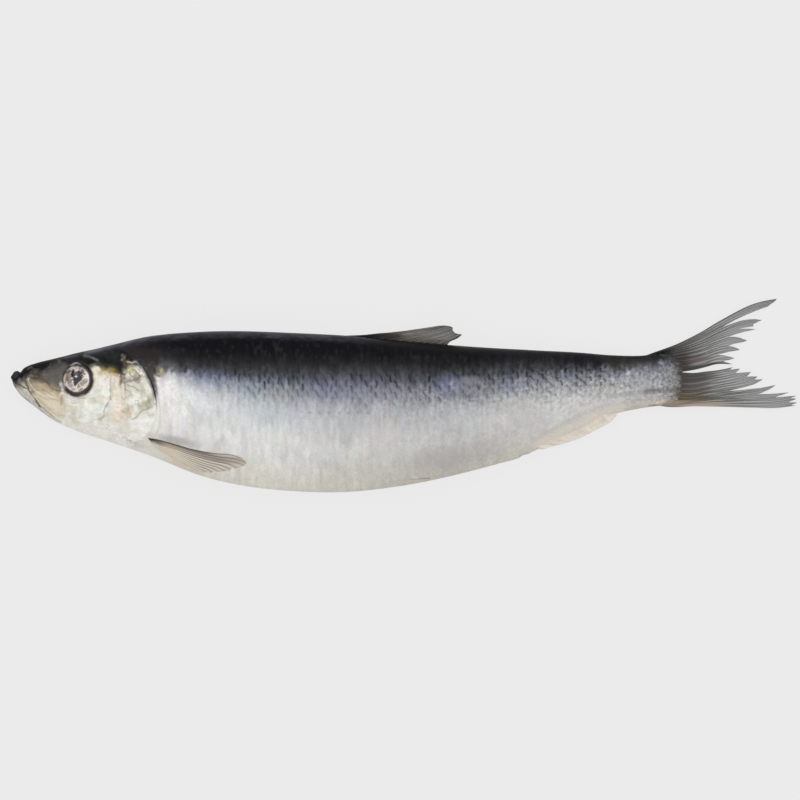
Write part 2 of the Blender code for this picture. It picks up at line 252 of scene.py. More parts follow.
# %% [markdown]
# ## Colour in washes, strokes and dabs
# A real fish is coloured in fields, scales, streaks and stains, each at its own place. So the
# skin is painted as a person would paint a model: a base, then washes, strokes and dabs, each
# given in millimetres on the side view. A stroke is a distance to a line, a dab is a distance to
# an oval, and smooth noise makes their edges uneven. The paint is kept on the points of the
# mesh, which lie about a third of a millimetre apart.

# %% Brushes
def linear(code):
    """An sRGB hex colour as linear red, green and blue."""
    value = np.array([int(code[i : i + 2], 16) for i in (0, 2, 4)]) / 255
    return np.where(value <= 0.04045, value / 12.92, ((value + 0.055) / 1.055) ** 2.4)


def noise(x, y, size, seed, octaves=1):
    """Smooth random values from -0.5 to 0.5: a lattice of random knots, size apart, eased between.

    Each further octave has half the size and half the strength of the one before.
    """
    total, weight = 0.0, 0.0
    for octave in range(octaves):
        lattice = np.random.default_rng(seed + octave).random((128, 128))
        a, b = x / size * 2**octave, y / size * 2**octave
        i, j = np.floor(a).astype(int), np.floor(b).astype(int)
        s, t = ease(0, 1, a - i), ease(0, 1, b - j)
        low, high = (
            lattice[i % 128, k % 128] * (1 - s) + lattice[(i + 1) % 128, k % 128] * s for k in (j, j + 1)
        )
        total = total + (low * (1 - t) + high * t) * 0.5**octave
        weight += 0.5**octave
    return total / weight - 0.5


def from_corners(along, height, corners):
    """Distance of each place of the side view from a line with corners, the least over its pieces."""
    nearest = np.full(np.shape(along), np.inf)
    for (ax, ay), (bx, by) in zip(corners[:-1], corners[1:]):
        dx, dy = bx - ax, by - ay
        t = np.clip(((along - ax) * dx + (height - ay) * dy) / (dx * dx + dy * dy + 1e-9), 0, 1)
        nearest = np.minimum(nearest, np.hypot(along - ax - t * dx, height - ay - t * dy))
    return nearest


def stroke(along, height, points, width):
    """1 on a smooth line and 0 away from it, falling off as a bell whose half width is given."""
    line = curve_at(points, np.linspace(0, 1, 6 * len(points)))
    return bell(from_corners(along, height, line), width)


def dab(along, height, centre, radii, turn, softness):
    """1 inside an oval turned by some degrees and 0 outside, eased over a share of its radius."""
    c, s = math.cos(math.radians(turn)), math.sin(math.radians(turn))
    dx, dy = along - centre[0], height - centre[1]
    away = np.hypot((c * dx + s * dy) / radii[0], (-s * dx + c * dy) / radii[1])
    return 1 - ease(1 - softness, 1 + softness, away)


def inside(along, height, outline, softness):
    """1 inside a closed outline and 0 outside, eased over the softness on both sides of its edge."""
    corners = (*outline, outline[0])
    odd = np.zeros(np.shape(along), bool)
    for (ax, ay), (bx, by) in zip(corners[:-1], corners[1:]):
        if ay != by:
            crossing = (bx - ax) * (height - ay) / (by - ay) + ax
            odd ^= ((ay > height) != (by > height)) & (along < crossing)
    near = from_corners(along, height, corners)
    return ease(-softness, softness, np.where(odd, near, -near))


def lay(paint, mask, colour):
    """Lays a colour over the paint, as thick as the mask says."""
    mask = np.asarray(mask)[..., None]
    colour = linear(colour) if isinstance(colour, str) else colour
    paint += mask * (colour - paint)


def lay_dabs(paint, along, height, dabs, softness, thickness=1.0):
    """Lays dabs of (middle along, middle height, two radii, turn in degrees, colour, strength)."""
    for x, y, long, tall, turned, colour, strength in dabs:
        mask = dab(along, height, (x, y), (long, tall), turned, softness)
        lay(paint, strength * thickness * mask, colour)


def lay_strokes(paint, along, height, strokes, thickness=1.0):
    """Lays strokes of (line, half width, colour, strength)."""
    for line, width, colour, strength in strokes:
        lay(paint, strength * thickness * stroke(along, height, line, width), colour)


def shade(paint, amount):
    """Makes the paint lighter where the amount is over 0 and darker where it is under 0."""
    paint *= (1 + amount)[..., None]


def ramp(x, steps):
    """Colours that follow x through steps of (value, hex colour)."""
    knots = [value for value, _ in steps]
    colours = np.array([linear(code) for _, code in steps])
    return np.stack([np.interp(x, knots, colours[:, k]) for k in range(3)], axis=-1)


# %% [markdown]
# ## The rings of the skin
# The skin is one grid from jaw tip to tail root. Its rings bend to follow the gill opening, so
# that the free edge of the gill cover runs along a ring: there the rings crowd together, rise
# over the lip of the cover, turn under it and come up again behind as the shoulder. The points
# of a ring are closer on the left flank, which lies up.

# %% Where the rings and their points lie
GILL_ALONG = 55.3
GILL_DEEPEST = 0.62  # share of the depth, from the back, where the cover reaches furthest
GILL_CURVE_UP, GILL_CURVE_DOWN = 40.6, 72.7
GILL_TOP, GILL_BOTTOM = 0.12, 0.96
GILL_BLEND = 22.0
GILL_COVER_START, GILL_COVER_LIFT = 35.0, 0.9
GILL_SLIT_DEPTH, GILL_SLIT_FADE = 0.5, 1.5
GILL_SHUT, GILL_SHUT_FROM, GILL_SHUT_TO = 0.8, 0.50, 0.66  # low down the slit is nearly shut
HEAD_RINGS, SNOUT_CROWDING = 205, 1.12
NOSE_RINGS = np.array([0.2, 0.6, 0.88])  # sizes of three small rings that round off the jaw tip
NOSE_REACH = 0.35
BODY_RING_SPACING = 0.36
LEFT_POINTS, RIGHT_POINTS = 225, 110

# The lip of the gill cover, ring by ring: step along, shift of the ring, height over the skin
GILL_LIP = (
    (0.02, 0.1, 0.86), (0.04, 0.16, 0.7), (0.06, 0.12, 0.45), (0.08, -0.1, 0.15), (0.1, -0.45, -0.2),
    (0.12, -0.7, -0.6), (0.14, -0.55, -0.85), (0.2, -0.1, -0.8), (0.3, 0.1, -0.68), (0.45, 0.1, -0.62),
)


def skin_stations():
    """For each ring: its station, how far it shifts at the slit and its height at the slit."""
    nose = np.zeros(len(NOSE_RINGS))
    head = GILL_ALONG * (np.arange(1, HEAD_RINGS + 1) / HEAD_RINGS) ** SNOUT_CROWDING
    lift = np.clip((head - GILL_COVER_START) / (GILL_ALONG - GILL_COVER_START), 0, 1) ** 1.5
    lip = np.array(GILL_LIP)
    body = np.arange(GILL_ALONG + 0.7, TRUNK_STATIONS[-1][0], BODY_RING_SPACING)
    sunk = -GILL_SLIT_DEPTH * np.exp(-(body - GILL_ALONG) / GILL_SLIT_FADE)
    station = np.concatenate([nose, [0.0], head, GILL_ALONG + lip[:, 0], body])
    shift = np.concatenate([nose, [0.0], 0 * head, lip[:, 1], 0 * body])
    relief = np.concatenate([nose, [0.0], GILL_COVER_LIFT * lift, lip[:, 2], sunk])
    return station[:, None], shift[:, None], relief[:, None]


def skin_turns():
    """The angle of each point round a ring: even on the left flank, closer at the rims on the right."""
    left = np.linspace(0, np.pi, LEFT_POINTS, endpoint=False)
    x = np.linspace(0, 1, RIGHT_POINTS, endpoint=False)
    right = np.pi + np.pi * (x - 0.5 * np.sin(2 * np.pi * x) / (2 * np.pi))
    return np.concatenate([left, right])[None, :]


# %% The grid of the skin
station, slit_shift, slit_relief = skin_stations()
turn = skin_turns()
level = np.cos(turn)
risen = level + SHOULDER * (1 - level**2)
depth = (1 - risen) / 2
curve = np.where(depth < GILL_DEEPEST, GILL_CURVE_UP, GILL_CURVE_DOWN)
bend = curve * (depth - GILL_DEEPEST) ** 2 * bell(station - GILL_ALONG, GILL_BLEND)
gill_open = np.sin(np.pi * np.clip((depth - GILL_TOP) / (GILL_BOTTOM - GILL_TOP), 0, 1)) ** 0.7
gill_open = gill_open * (1 - GILL_SHUT * ease(GILL_SHUT_FROM, GILL_SHUT_TO, depth))
along = np.clip(station - bend + slit_shift * gill_open, 0, TRUNK_STATIONS[-1][0])
back, belly, half = trunk_at(along)
height = (back + belly) / 2 + (back - belly) / 2 * risen
out = half_width(half, level) + slit_relief * gill_open
side = np.where(turn < np.pi, 1.0, -1.0)
z = backbone_at(along) + side * out
skin = np.stack(np.broadcast_arrays(along, height, z), axis=-1)
nose_middle = skin[3].mean(axis=0)
skin[:3] = nose_middle + (skin[3] - nose_middle) * NOSE_RINGS[:, None, None]
skin[:3, :, 0] -= NOSE_REACH * (1 - NOSE_RINGS[:, None] ** 2)
print("the skin has", skin.shape[0], "rings of", skin.shape[1], "points")

# %% [markdown]
# ## Scales
# A herring's scales are thin round plates in staggered rows, each lying over the front of the
# next. The pattern is worked out in scale units: u counts columns along the fish and v counts
# rows over the flank, measured on the skin itself so that scales look narrow where the flank
# turns away. At each point the ovals of six nearby scales are tried, and the one whose middle
# lies furthest ahead wins, because it is the one on top.

# %% The pattern of scales
SCALE_COLUMN = 3.73  # between the middles of two scales of one row
SCALE_ROW = 2.3
SCALE_LENGTH, SCALE_HEIGHT = 0.66, 1.1  # half sizes of a scale, in columns and rows
SCALE_LIFT = 0.05  # how far its rear edge stands up
SCALE_WOBBLE = (0.16, 0.24)  # keeps the ovals from being perfect, in columns and rows
FIRST_SCALES, FULL_SCALES = 56.5, 61.0  # where they begin behind the gill cover
BARE_RIM, SCALED_FLANK = 1.5, 4.0  # they fade out where the flank turns to the back or the keel
FIRST_ROW = 40  # keeps the numbers of the rows over 0

chords = np.linalg.norm(np.diff(skin, axis=1), axis=-1)
arc = np.concatenate([np.zeros((len(skin), 1)), np.cumsum(chords, axis=1)], axis=1)
girth = arc[:, -1:] + np.linalg.norm(skin[:, :1] - skin[:, -1:], axis=-1)
left_middle, right_middle = (np.argmin(np.abs(turn[0] - a)) for a in (np.pi / 2, 3 * np.pi / 2))
over_flank = np.where(side > 0, arc[:, left_middle, None] - arc, arc - arc[:, right_middle, None])
row_height = SCALE_ROW * (girth / girth.max()) ** 0.6
u = skin[..., 0] / SCALE_COLUMN
v = over_flank / row_height + FIRST_ROW + 0.5 * (side < 0)
print("scales are", SCALE_COLUMN, "mm apart along a row, and rows", SCALE_ROW, "mm apart")


# %% Which scale each point is on
def find_scale(u, v):
    """How far each point lies behind and above its scale's middle, and that scale's two numbers."""
    best = [np.full(u.shape, -9.0), np.zeros(u.shape), np.zeros(u.shape, int), np.zeros(u.shape, int)]
    for step in (-1, 0, 1):
        row = np.round(v).astype(int) + step
        offset = 0.5 * (row % 2)
        for ahead in (0, 1):
            column = np.round(u - offset).astype(int) - ahead
            dx, dy = u - offset - column, v - row
            on_it = (dx / SCALE_LENGTH) ** 2 + (dy / SCALE_HEIGHT) ** 2 <= 1
            wins = on_it & (dx > best[0])
            for kept, new in zip(best, (dx, dy, column, row)):
                kept[wins] = np.broadcast_to(new, u.shape)[wins]
    return best


wobble_u = SCALE_WOBBLE[0] * noise(u, v, 0.8, 11)
wobble_v = SCALE_WOBBLE[1] * noise(u, v, 0.8, 12)
scale_x, scale_y, scale_column, scale_row = find_scale(u + wobble_u, v + wobble_v)
scale_edge = 1 - np.hypot(scale_x / SCALE_LENGTH, scale_y / SCALE_HEIGHT)
scale_tones = np.random.default_rng(5).random((3, 128, 128))
tone, tone_b, tone_c = scale_tones[:, scale_column % 128, scale_row % 128]
scaled = ease(FIRST_SCALES, FULL_SCALES, skin[..., 0] + 2 * noise(skin[..., 0], skin[..., 1], 3, 21))
scaled = scaled * ease(BARE_RIM, SCALED_FLANK, np.abs(np.sin(turn)) * 12)
slope = np.clip((scale_x + 0.2) / 0.8, 0, 1) - 0.4
scale_relief = SCALE_LIFT * scaled * slope * (0.6 + 0.8 * tone)
print("scales run to column", scale_column.max(), "in rows", scale_row.min(), "to", scale_row.max())

# %% [markdown]
# ## The head's plates
# The head has no scales. Thin bones lie under its skin: the long plate of the upper jaw, the
# cheek, the bent bone in front of the gill cover, and the cover with the plate below it. They
# show as low steps and lines, so they are relief on the same grid: an outline lifts a plate, and
# a line sinks a groove.

# %% The plates and grooves of the head, as outlines and lines of the side view
EYE_PLACE = (25.3, -1.1)
EYE_RADIUS = 5.75
JAW_RISE, COVER_RISE = 0.42, 0.22
SOCKET_RISE, SOCKET_DEPTH = 0.30, 1.0
UPPER_JAW = (
    (5.9, 0.2), (9.4, -1.4), (13.4, -3.7), (17.6, -6.3), (20.8, -9.6), (22.1, -12.6), (20.6, -14.8),
    (18.2, -14.6), (14.5, -11.6), (10.4, -8), (7, -4.3), (5.3, -1.2),
)
COVER_PLATE = (
    (44.6, 4.4), (50, 4.2), (53.2, -0.6), (54.6, -6), (55.4, -10), (50, -14), (45.8, -17.6), (44, -10),
    (43.6, -2),
)
MOUTH_LINE = ((3.4, 0.9), (4.3, -1.8), (5.4, -4.9), (8, -8.3), (11.4, -11.6), (14.4, -14.2))
CHEEK_LINE = ((37.6, 1.8), (38.1, -3), (37.9, -8), (36.9, -11.2), (35.3, -16), (31.8, -17.2))
SOCKET_LINE = ((28.5, -8.3), (31.6, -6.9), (33.9, -4.6), (35, -1.5))
BROW_LINE = ((15.5, 4.2), (20, 6), (26, 6.6), (32, 5.6), (37, 4.2))
GROOVES = (
    # line, half width, depth
    (MOUTH_LINE, 0.42, 0.55), (CHEEK_LINE, 0.5, 0.34), (SOCKET_LINE, 0.45, 0.25),
    (BROW_LINE, 0.6, 0.22),
    (((11.2, -0.4), (14.6, -2.8), (17.8, -5.5)), 0.35, 0.22),
    (((20.6, -7.8), (24.4, -9.2), (28.4, -8.8)), 0.3, 0.16),
    (((21.4, -9.4), (25, -10.6), (29.2, -9.9)), 0.28, 0.12),
    (((44, 6), (43.4, 0), (43.6, -6), (44.6, -12), (46.2, -17)), 0.35, 0.24),
    (((55.3, -10.3), (53, -12.6), (49.9, -14.4), (46.2, -17.2)), 0.32, 0.22),
    (((30, -19.6), (36, -20.6), (43, -22.4), (50, -25.2)), 0.35, 0.22),
    (((33, -21.2), (40, -22.8), (47, -25.4)), 0.3, 0.16),
)
NOSTRIL, NOSTRIL_WIDTH, NOSTRIL_DEPTH = ((13.2, 4.4), (14.2, 4.5)), 0.45, 0.5
RIB_HUB, RIBS, RIB_HEIGHT = (44.0, 5.0), 26, 0.035  # fine ribs fan out over the cover from its top
HEAD_WAVES = 0.16  # how uneven the head is
MARK_WARP = 1.4  # how far lines wander from their places
HEAD_END = 66.0
print("the head has", len(GROOVES), "grooves")

# %% Relief of the head
on_head = skin[..., 0] < HEAD_END
head_along, head_height = skin[..., 0][on_head], skin[..., 1][on_head]
uneven = [noise(head_along, head_height, 2.2, seed, 2) for seed in (31, 37)]
mark_along, mark_height = head_along + MARK_WARP * uneven[0], head_height + MARK_WARP * uneven[1]
from_eye = np.hypot(head_along - EYE_PLACE[0], (head_height - EYE_PLACE[1]) * 0.95) / EYE_RADIUS

head_relief = JAW_RISE * inside(head_along, head_height, UPPER_JAW, 0.3)
head_relief += COVER_RISE * inside(head_along, head_height, COVER_PLATE, 0.45)
for line, width, deep in GROOVES:
    head_relief -= deep * stroke(mark_along, mark_height, line, width)
head_relief += SOCKET_RISE * bell(from_eye - 1.19, 0.13) - SOCKET_DEPTH * (1 - ease(0.92, 1.09, from_eye))
spokes = np.arctan2(head_height - RIB_HUB[1], head_along - RIB_HUB[0]) * RIBS + 2.0 * uneven[0]
ribbed = dab(head_along, head_height, (49.6, -6.5), (5.6, 9.5), 0, 0.3)
head_relief += RIB_HEIGHT * np.sin(spokes) * ribbed
head_relief += HEAD_WAVES * noise(head_along, head_height, 4.5, 41, 3) * (head_along > 2)
head_relief -= NOSTRIL_DEPTH * stroke(head_along, head_height, NOSTRIL, NOSTRIL_WIDTH)
relief = np.array(scale_relief)
relief[on_head] += head_relief * between(0.5, 4.0, 57.0, 60.0, head_along)
print("the head's relief is", round(head_relief.min(), 2), "to", round(head_relief.max(), 2), "mm")

# %% Relief of the body
# The belly's keel ends in a small step at the vent, and the flank is a little wavy
VENT, VENT_RADII, VENT_DEPTH = (195.8, 0.4), (1.2, 1.0), 0.35
WAVE_SIZE, WAVE_HEIGHT = 26, 0.5
over_belly, on_body = skin[..., 1] - belly, ease(60, 70, skin[..., 0])
relief -= VENT_DEPTH * dab(skin[..., 0], over_belly, VENT, VENT_RADII, 0, 0.6)
waves = noise(skin[..., 0], over_flank, WAVE_SIZE, 51, 2) * np.abs(np.sin(turn))
relief += WAVE_HEIGHT * on_body * waves
smooth_normals = outward(skin)
if smooth_normals[HEAD_RINGS, LEFT_POINTS // 2, 2] < 0:  # on the left flank they point up
    smooth_normals = -smooth_normals
skin = skin + smooth_normals * relief[..., None]
skin[..., 2] = np.maximum(skin[..., 2], 0.0)  # nothing is under the table
skin_normals = outward(skin)
skin_normals *= np.sign((skin_normals * smooth_normals).sum(axis=-1, keepdims=True) + 1e-9)
print("the relief runs from", round(relief.min(), 2), "to", round(relief.max(), 2), "mm")

# %% [markdown]
# ## Paint for the body
# Looked at from the side, a herring has a blue-black back, a band where each scale carries a
# small dark mark on blue-grey, a bright flank and a yellowish belly. The lower edge of the dark
# back is a line of the side view, and everything hangs from the distance below it. Each scale
# has its own random tone, which frays that edge scale by scale as on the real fish.

# %% The body's shades and marks, as tables
# Distance along, height of the lower edge of the dark back
DARK_EDGE = (
    (0, 6), (54.9, 5), (65.2, 2.4), (76, 1), (84, 0.5), (95.1, 0.1), (106, -0.3), (133.4, -0.6),
    (156.3, -0.6), (175, -0.3), (186.9, 0.4), (204.5, 1.8), (225.2, 3.1), (240.5, 4.1), (246.3, 4.4),
    (250, 5.2), (258, 6.4),
)
# Distance below that edge where the band is widest, shade
EDGE_SHADES = (
    (-14, "0b0a0f"), (-9, "100f12"), (-5.7, "1c1c1e"), (-3.4, "2d2d2f"), (-1.1, "424247"),
    (1.2, "595a63"), (3.4, "71747c"), (5.7, "84868d"), (8, "888b92"), (10.3, "989a9f"),
    (12.6, "a6a6aa"), (17, "b0b0b1"), (22, "bababa"), (30, "c4c3c1"),
)
# Distance along, and there: width of the band under the edge, width of the dark over it, as shares
# of the widest, and how light the flank and its lower part are
BAND_WIDTH = (
    (57, 0.24), (66, 0.25), (72, 0.36), (84, 0.47), (106, 0.78), (130, 0.96), (160, 0.88), (175, 0.86),
    (198, 0.52), (221, 0.48), (244, 0.25),
)
DARK_SPREAD = ((60, 1), (190, 1), (225, 0.55), (244, 0.35), (256, 0.3))
FLANK_LIGHT = (
    (57, 1.34), (64, 1.28), (72, 1.18), (84, 1.13), (106, 1.08), (130, 0.98), (152, 0.98), (175, 0.97),
    (198, 0.93), (221, 0.99), (235, 0.84), (244, 0.72), (256, 0.66),
)
LOWER_LIGHT = (
    (57, 0.93), (64, 0.93), (70, 1), (74, 1.05), (84, 1.06), (95, 1.11), (110, 1.12), (125, 1.08),
    (135, 1.03), (150, 0.98), (170, 0.92), (185, 1), (205, 1.07), (240, 1.1),
)
BELLY_TINT = np.array([-0.02, 0.01, 0.10])  # how much red, green and blue the belly takes away
COOL_TINT = np.array([0.10, 0.045, 0.02])  # what the bright fore flank takes away
# painted sheen along the rim of the back
BACK_RIM_SHEEN = "3c3b42"  # the cloudy rim of the back
BODY_DABS = (
    # middle along, middle height, two radii, turn, colour, strength
    (74, -1.2, 9, 3.2, 0, "8589a6", 0.28),
    (126, -5, 12, 4.5, 0, "777a96", 0.25),
    (167, -3.6, 5, 3.4, 0, "858cb4", 0.26),
    (172, -7.6, 5, 1.6, 0, "6b6c72", 0.35),
    (191.5, -2.8, 3.2, 2.2, 0, "74799c", 0.25),
    (102.5, -6.7, 6, 2.8, 0, "a3968a", 0.22),
    (176, -17, 9, 4, 0, "c6c6c6", 0.3),
    (175.5, -2.2, 5.5, 1.7, 0, "868a8f", 0.6),
    (163, -32, 10, 4, 8, "a9a3a3", 0.5),
    (66, -33, 12, 4, -24, "cfc2ae", 0.6),
    (51, -28, 8, 4.5, -15, "dddbd5", 0.7),
    # painted shadow on the flank just above the pectoral fin
    (63, -24.2, 8, 1.5, -14, "a7a39f", 0.7),
    (47, -25.8, 5, 1.2, -12, "c2bdb8", 0.55),
    (132, -18.5, 10, 3, 0, "aeafb0", 0.3),
    (196, -13, 9, 4.5, -8, "b4b3b1", 0.35),
    (143, -22, 7, 3.5, 0, "ccc4c2", 0.35),
    (236, 4.2, 8, 1.8, 5, "46453a", 0.45),
    (246, -1, 11, 5.5, 0, "a6a6b6", 0.25),
    (254, -1, 4.5, 8, 0, "7b7b7a", 0.55),
    (250, -10.2, 12, 1, 3, "cdc3b6", 0.7),
    (235.9, 1.3, 0.8, 0.8, 0, "c9cad6", 0.65),
    (222, -17.6, 4, 1.3, 26, "cfcdb2", 0.5),
    (57, 2, 2, 1.6, 0, "7f7860", 0.8),
    (61, 4, 4, 1.6, -20, "5f5f5c", 0.5),
    (176, -29.5, 12, 4, 18, "aba6a5", 0.45),
    (56, -17, 1.5, 6, 0, "e8e9de", 0.65),
    (56.6, 2.6, 1.6, 1.2, 0, "5f584a", 0.65),
    (57, 0.7, 1.8, 0.8, 0, "9c9284", 0.5),
    (57.7, 2.4, 0.5, 1, -10, "cbc492", 0.6),
)
BODY_STROKES = (
    # line, half width, colour, strength
    (((191.5, -6.1), (204.5, -4.6), (225.2, -3.1), (238, -2.2)), 0.35, "5a5550", 0.22),
    (((200.5, -26.4), (210.3, -21.6), (220, -17), (227, -13.8), (233, -11.8)), 2.3, "dad2c7", 0.65),
    (((199.8, -24), (206, -20.6), (212.4, -17.5), (218, -14.6), (223.6, -12.2), (235, -9.4)), 0.9,
     "b9b1b0", 0.42),
    (((206, -19), (213, -15.6), (223.6, -10.6), (231, -8.8)), 0.5, "d5d2d2", 0.35),
    (((244, -11), (252, -10.9), (257, -10.2)), 0.3, "5a544c", 0.55),
    # painted shadow on the back along the dorsal fin's root
    (((143, 13.6), (150.7, 12.4), (157.8, 11.4), (165, 10.7), (169, 10.2)), 0.8, "100e0d", 0.8),
    (((226, 6.4), (236, 6.2), (244, 6.9), (251, 8.2)), 1.3, "2b2b2a", 0.55),
    (((228, -7.8), (236, -6.6), (243, -5.9)), 1, "8a8b8e", 0.4),
    (((243, -5.6), (249, -5.3), (255, -5)), 1.2, "5d5c5b", 0.65),
    (((194.6, -31), (196.2, -30.4), (198, -29.6)), 0.55, "77716c", 0.6),
    (((54.9, 2.2), (55.6, 0.6), (56.8, 0.1)), 0.4, "3a352b", 0.65),
    (((59.2, 2.6), (59.2, 1.4)), 0.45, "4c473a", 0.55),
    (((54.6, -0.6), (55.4, -3), (56, -6.6)), 0.36, "7d736c", 0.7),
    (((56.4, -8.4), (57, -14), (56.7, -19), (55.2, -22.4)), 0.3, "b9b4a6", 0.6),
)
# Two rows of dots: start, end, height, colour
DOT_ROWS = ((159, 176.5, -7.3, "6a5550"), (113, 138.5, -13.8, "7b7b83"))
print("the body gets", len(BODY_DABS), "dabs and", len(BODY_STROKES), "strokes")

# %% The body's wash
# px and py are the place of each point on the side view, and from_back is how far it is under the
# back. The numbers in ease and between are millimetres or shares of the depth, and a number in
# front of a pattern says how strong it is.
px, py = skin[..., 0], skin[..., 1]
below_edge = curve_over(DARK_EDGE, px) - py
from_back, share_down = back - py, (back - py) / (back - belly)
grain = noise(px, over_flank, 1.1, 61, 2)
broad = noise(px, over_flank, 17, 67, 3)
streaks = noise(px, over_flank / 5, 1.3, 71, 2)
fine_streaks = noise(px, over_flank / 4, 0.75, 73, 2)

calm = 0.45 + 0.55 * ease(80, 115, px)  # the fore body's edge frays less
frayed = below_edge + 1.4 * (tone - 0.5) + 1.8 * broad
frayed = frayed + calm * (3.0 * streaks + 1.6 * fine_streaks) + 1.4 * grain
width_below, width_above = lines_over(BAND_WIDTH, px), lines_over(DARK_SPREAD, px)
hanging = np.where(frayed > 0, frayed / width_below, frayed / width_above)
paint = ramp(hanging, EDGE_SHADES)
shade(paint, (lines_over(FLANK_LIGHT, px) - 1) * ease(-2, 3, frayed))
lower = ease(0.48, 0.78, share_down)
shade(paint, lower * (lines_over(LOWER_LIGHT, px) - 1))
paint *= 1 - ease(0.72, 1.0, share_down + 0.08 * broad)[..., None] * BELLY_TINT
cool = between(0.22, 0.32, 0.5, 0.7, share_down) * between(55, 80, 100, 130, px)
paint *= 1 - cool[..., None] * COOL_TINT
speckle = noise(px, over_flank, 0.8, 81, 2)
rearward = ease(110, 190, px)
in_band = between(-2, 1, 9, 20, below_edge)
streaked = (0.24 - 0.15 * rearward) * streaks + 0.10 * fine_streaks
shade(paint, streaked + 0.05 * grain + 0.06 * broad)
shade(paint, (0.08 + 0.50 * in_band * (0.4 + 0.6 * rearward)) * speckle + 0.16 * rearward * grain)
for channel, seed in enumerate((75, 77, 79)):
    paint[..., channel] *= 1 + 0.06 * noise(px, over_flank / 5, 2.2, seed, 2)
on_back = 1 - ease(-6, -1, frayed / width_above)
patches = noise(px, over_flank / 2.2, 1.1, 87, 2)
lay(paint, 0.65 * on_back * ease(0.04, 0.34, patches) * ease(2.0, 6.0, from_back), "2c2b2a")
# The rim of the back gets a painted sheen, patchy where clouded is low
clouded = np.clip(0.85 + 2.0 * noise(px, 1.5 * skin[..., 2], 3.0, 89, 3), 0.3, 1.2)
rim = clouded * (1 - ease(1.2, 3.4, from_back + 1.5 * grain))
lay(paint, 0.8 * rim * on_back * (1 - 0.85 * ease(118, 142, px)), BACK_RIM_SHEEN)
print("the dark back covers", round(100 * float(np.mean(frayed < 0))), "% of the skin's points")

# %% Paint for each scale
# Each scale has its own tone, a faint painted glint along its rear edge, and a dark upright tick near that
# edge
TICK_AT, TICK_STRENGTH = 0.42, 0.95  # how far behind the scale's middle the tick is, and how dark
TICK_REACH, TICK_REACH_MORE = 4.0, 10.0  # how far below the back's edge ticks show, and more further aft
shade(paint, scaled * (0.09 * (tone_b - 0.5) + 0.05 * (tone_c - 0.5)))
rear = np.clip(scale_x / SCALE_LENGTH, 0, 1)
rear_edge_glint = bell(scale_edge, 0.16) * ease(0.2, 0.7, rear)
lay(paint, 0.13 * scaled * rear_edge_glint * ease(2, 8, below_edge), "e6e6ea")
leaning = np.clip(0.14 - (px - 64) / 25 * 0.14, -0.12, 0.14)
tick_x = scale_x - TICK_AT - 0.16 * (tone_b - 0.5) - (leaning + 0.4 * (tone - 0.5)) * scale_y
tick = bell(tick_x, 0.08 + 0.07 * tone_c) * (1 - ease(0.35 + 0.3 * tone_b, 0.9, np.abs(scale_y)))
tick_reach = TICK_REACH + TICK_REACH_MORE * ease(72, 98, px)
tick_fade = between(-4.0, 0.0, 1.0, tick_reach, below_edge)
shade(paint, -TICK_STRENGTH * scaled * tick * tick_fade * (0.35 + 0.65 * tone_c))
scale_lines = bell(scale_edge, 0.10) * scaled
shade(paint, -0.05 * scale_lines * ease(8, 14, below_edge) * (1 - ease(0.8, 0.95, share_down)))
print("ticks reach", tick_reach.min(), "to", tick_reach.max(), "mm under the edge")

# %% Dabs, strokes, dots and flecks of the body
lay_dabs(paint, px + 2 * broad, py + 2 * broad, BODY_DABS, 0.7)
lay_strokes(paint, px, py + 0.4 * grain, BODY_STROKES)
dots = bell(np.hypot((scale_x - 0.1) / 0.22, scale_y / 0.35), 1)
for start, end, level_at, colour in DOT_ROWS:
    in_row = between(start - 1, start + 1, end - 1, end + 1, px) * bell(py - level_at, 0.8)
    lay(paint, 0.5 * in_row * dots, colour)

# Bright flecks where single scales mirror the light, and dark specks among them
flecks = (tone > 0.90) & (below_edge > 0.5) & (below_edge < 14) & (px > 140) & (px < 240)
lay(paint, 0.22 * flecks * bell(np.hypot((scale_x - 0.2) / 0.2, scale_y / 0.5), 1), "d0d2d8")
specks = ease(0.16, 0.30, noise(px, over_flank, 0.9, 83)) * between(0, 1.5, 8, 12, below_edge)
lay(paint, 0.30 * specks * ease(130, 160, px), "33343f")
print("bright scales cover", round(100 * float(flecks.mean()), 1), "% of the skin's points")

# %% The tail's root
# The skin ends in a ragged line, with the dark root of the tail beyond it
# Height, distance along
TAIL_BORDER = (
    (-12, 249), (-10.5, 250), (-8.8, 252.6), (-6.9, 254.2), (-3, 255.6), (0.5, 255.3), (3, 254.8),
    (5, 253.8), (7, 251.2), (9, 246.5),
)
# Height, shade
TAIL_ROOT = (
    (-12, "b5a896"), (-9.5, "8f8376"), (-7, "5b5149"), (-3, "4a4542"), (4, "464140"), (7, "3c3b3b"),
)
frays = noise(px, over_flank, 0.6, 85, 2)
shade(paint, 1.1 * ease(242, 250, px) * frays)
beyond = px - lines_over(TAIL_BORDER, py) + 5 * grain + 4 * speckle + 6 * frays
beyond = ease(-1.3, 1.3, beyond)
lay(paint, 0.94 * beyond, ramp(py, TAIL_ROOT) * (1 + 1.2 * speckle)[..., None])
print("the skin's last", round(float(px.max() - px[beyond > 0.5].min()), 1), "mm is the tail's root")
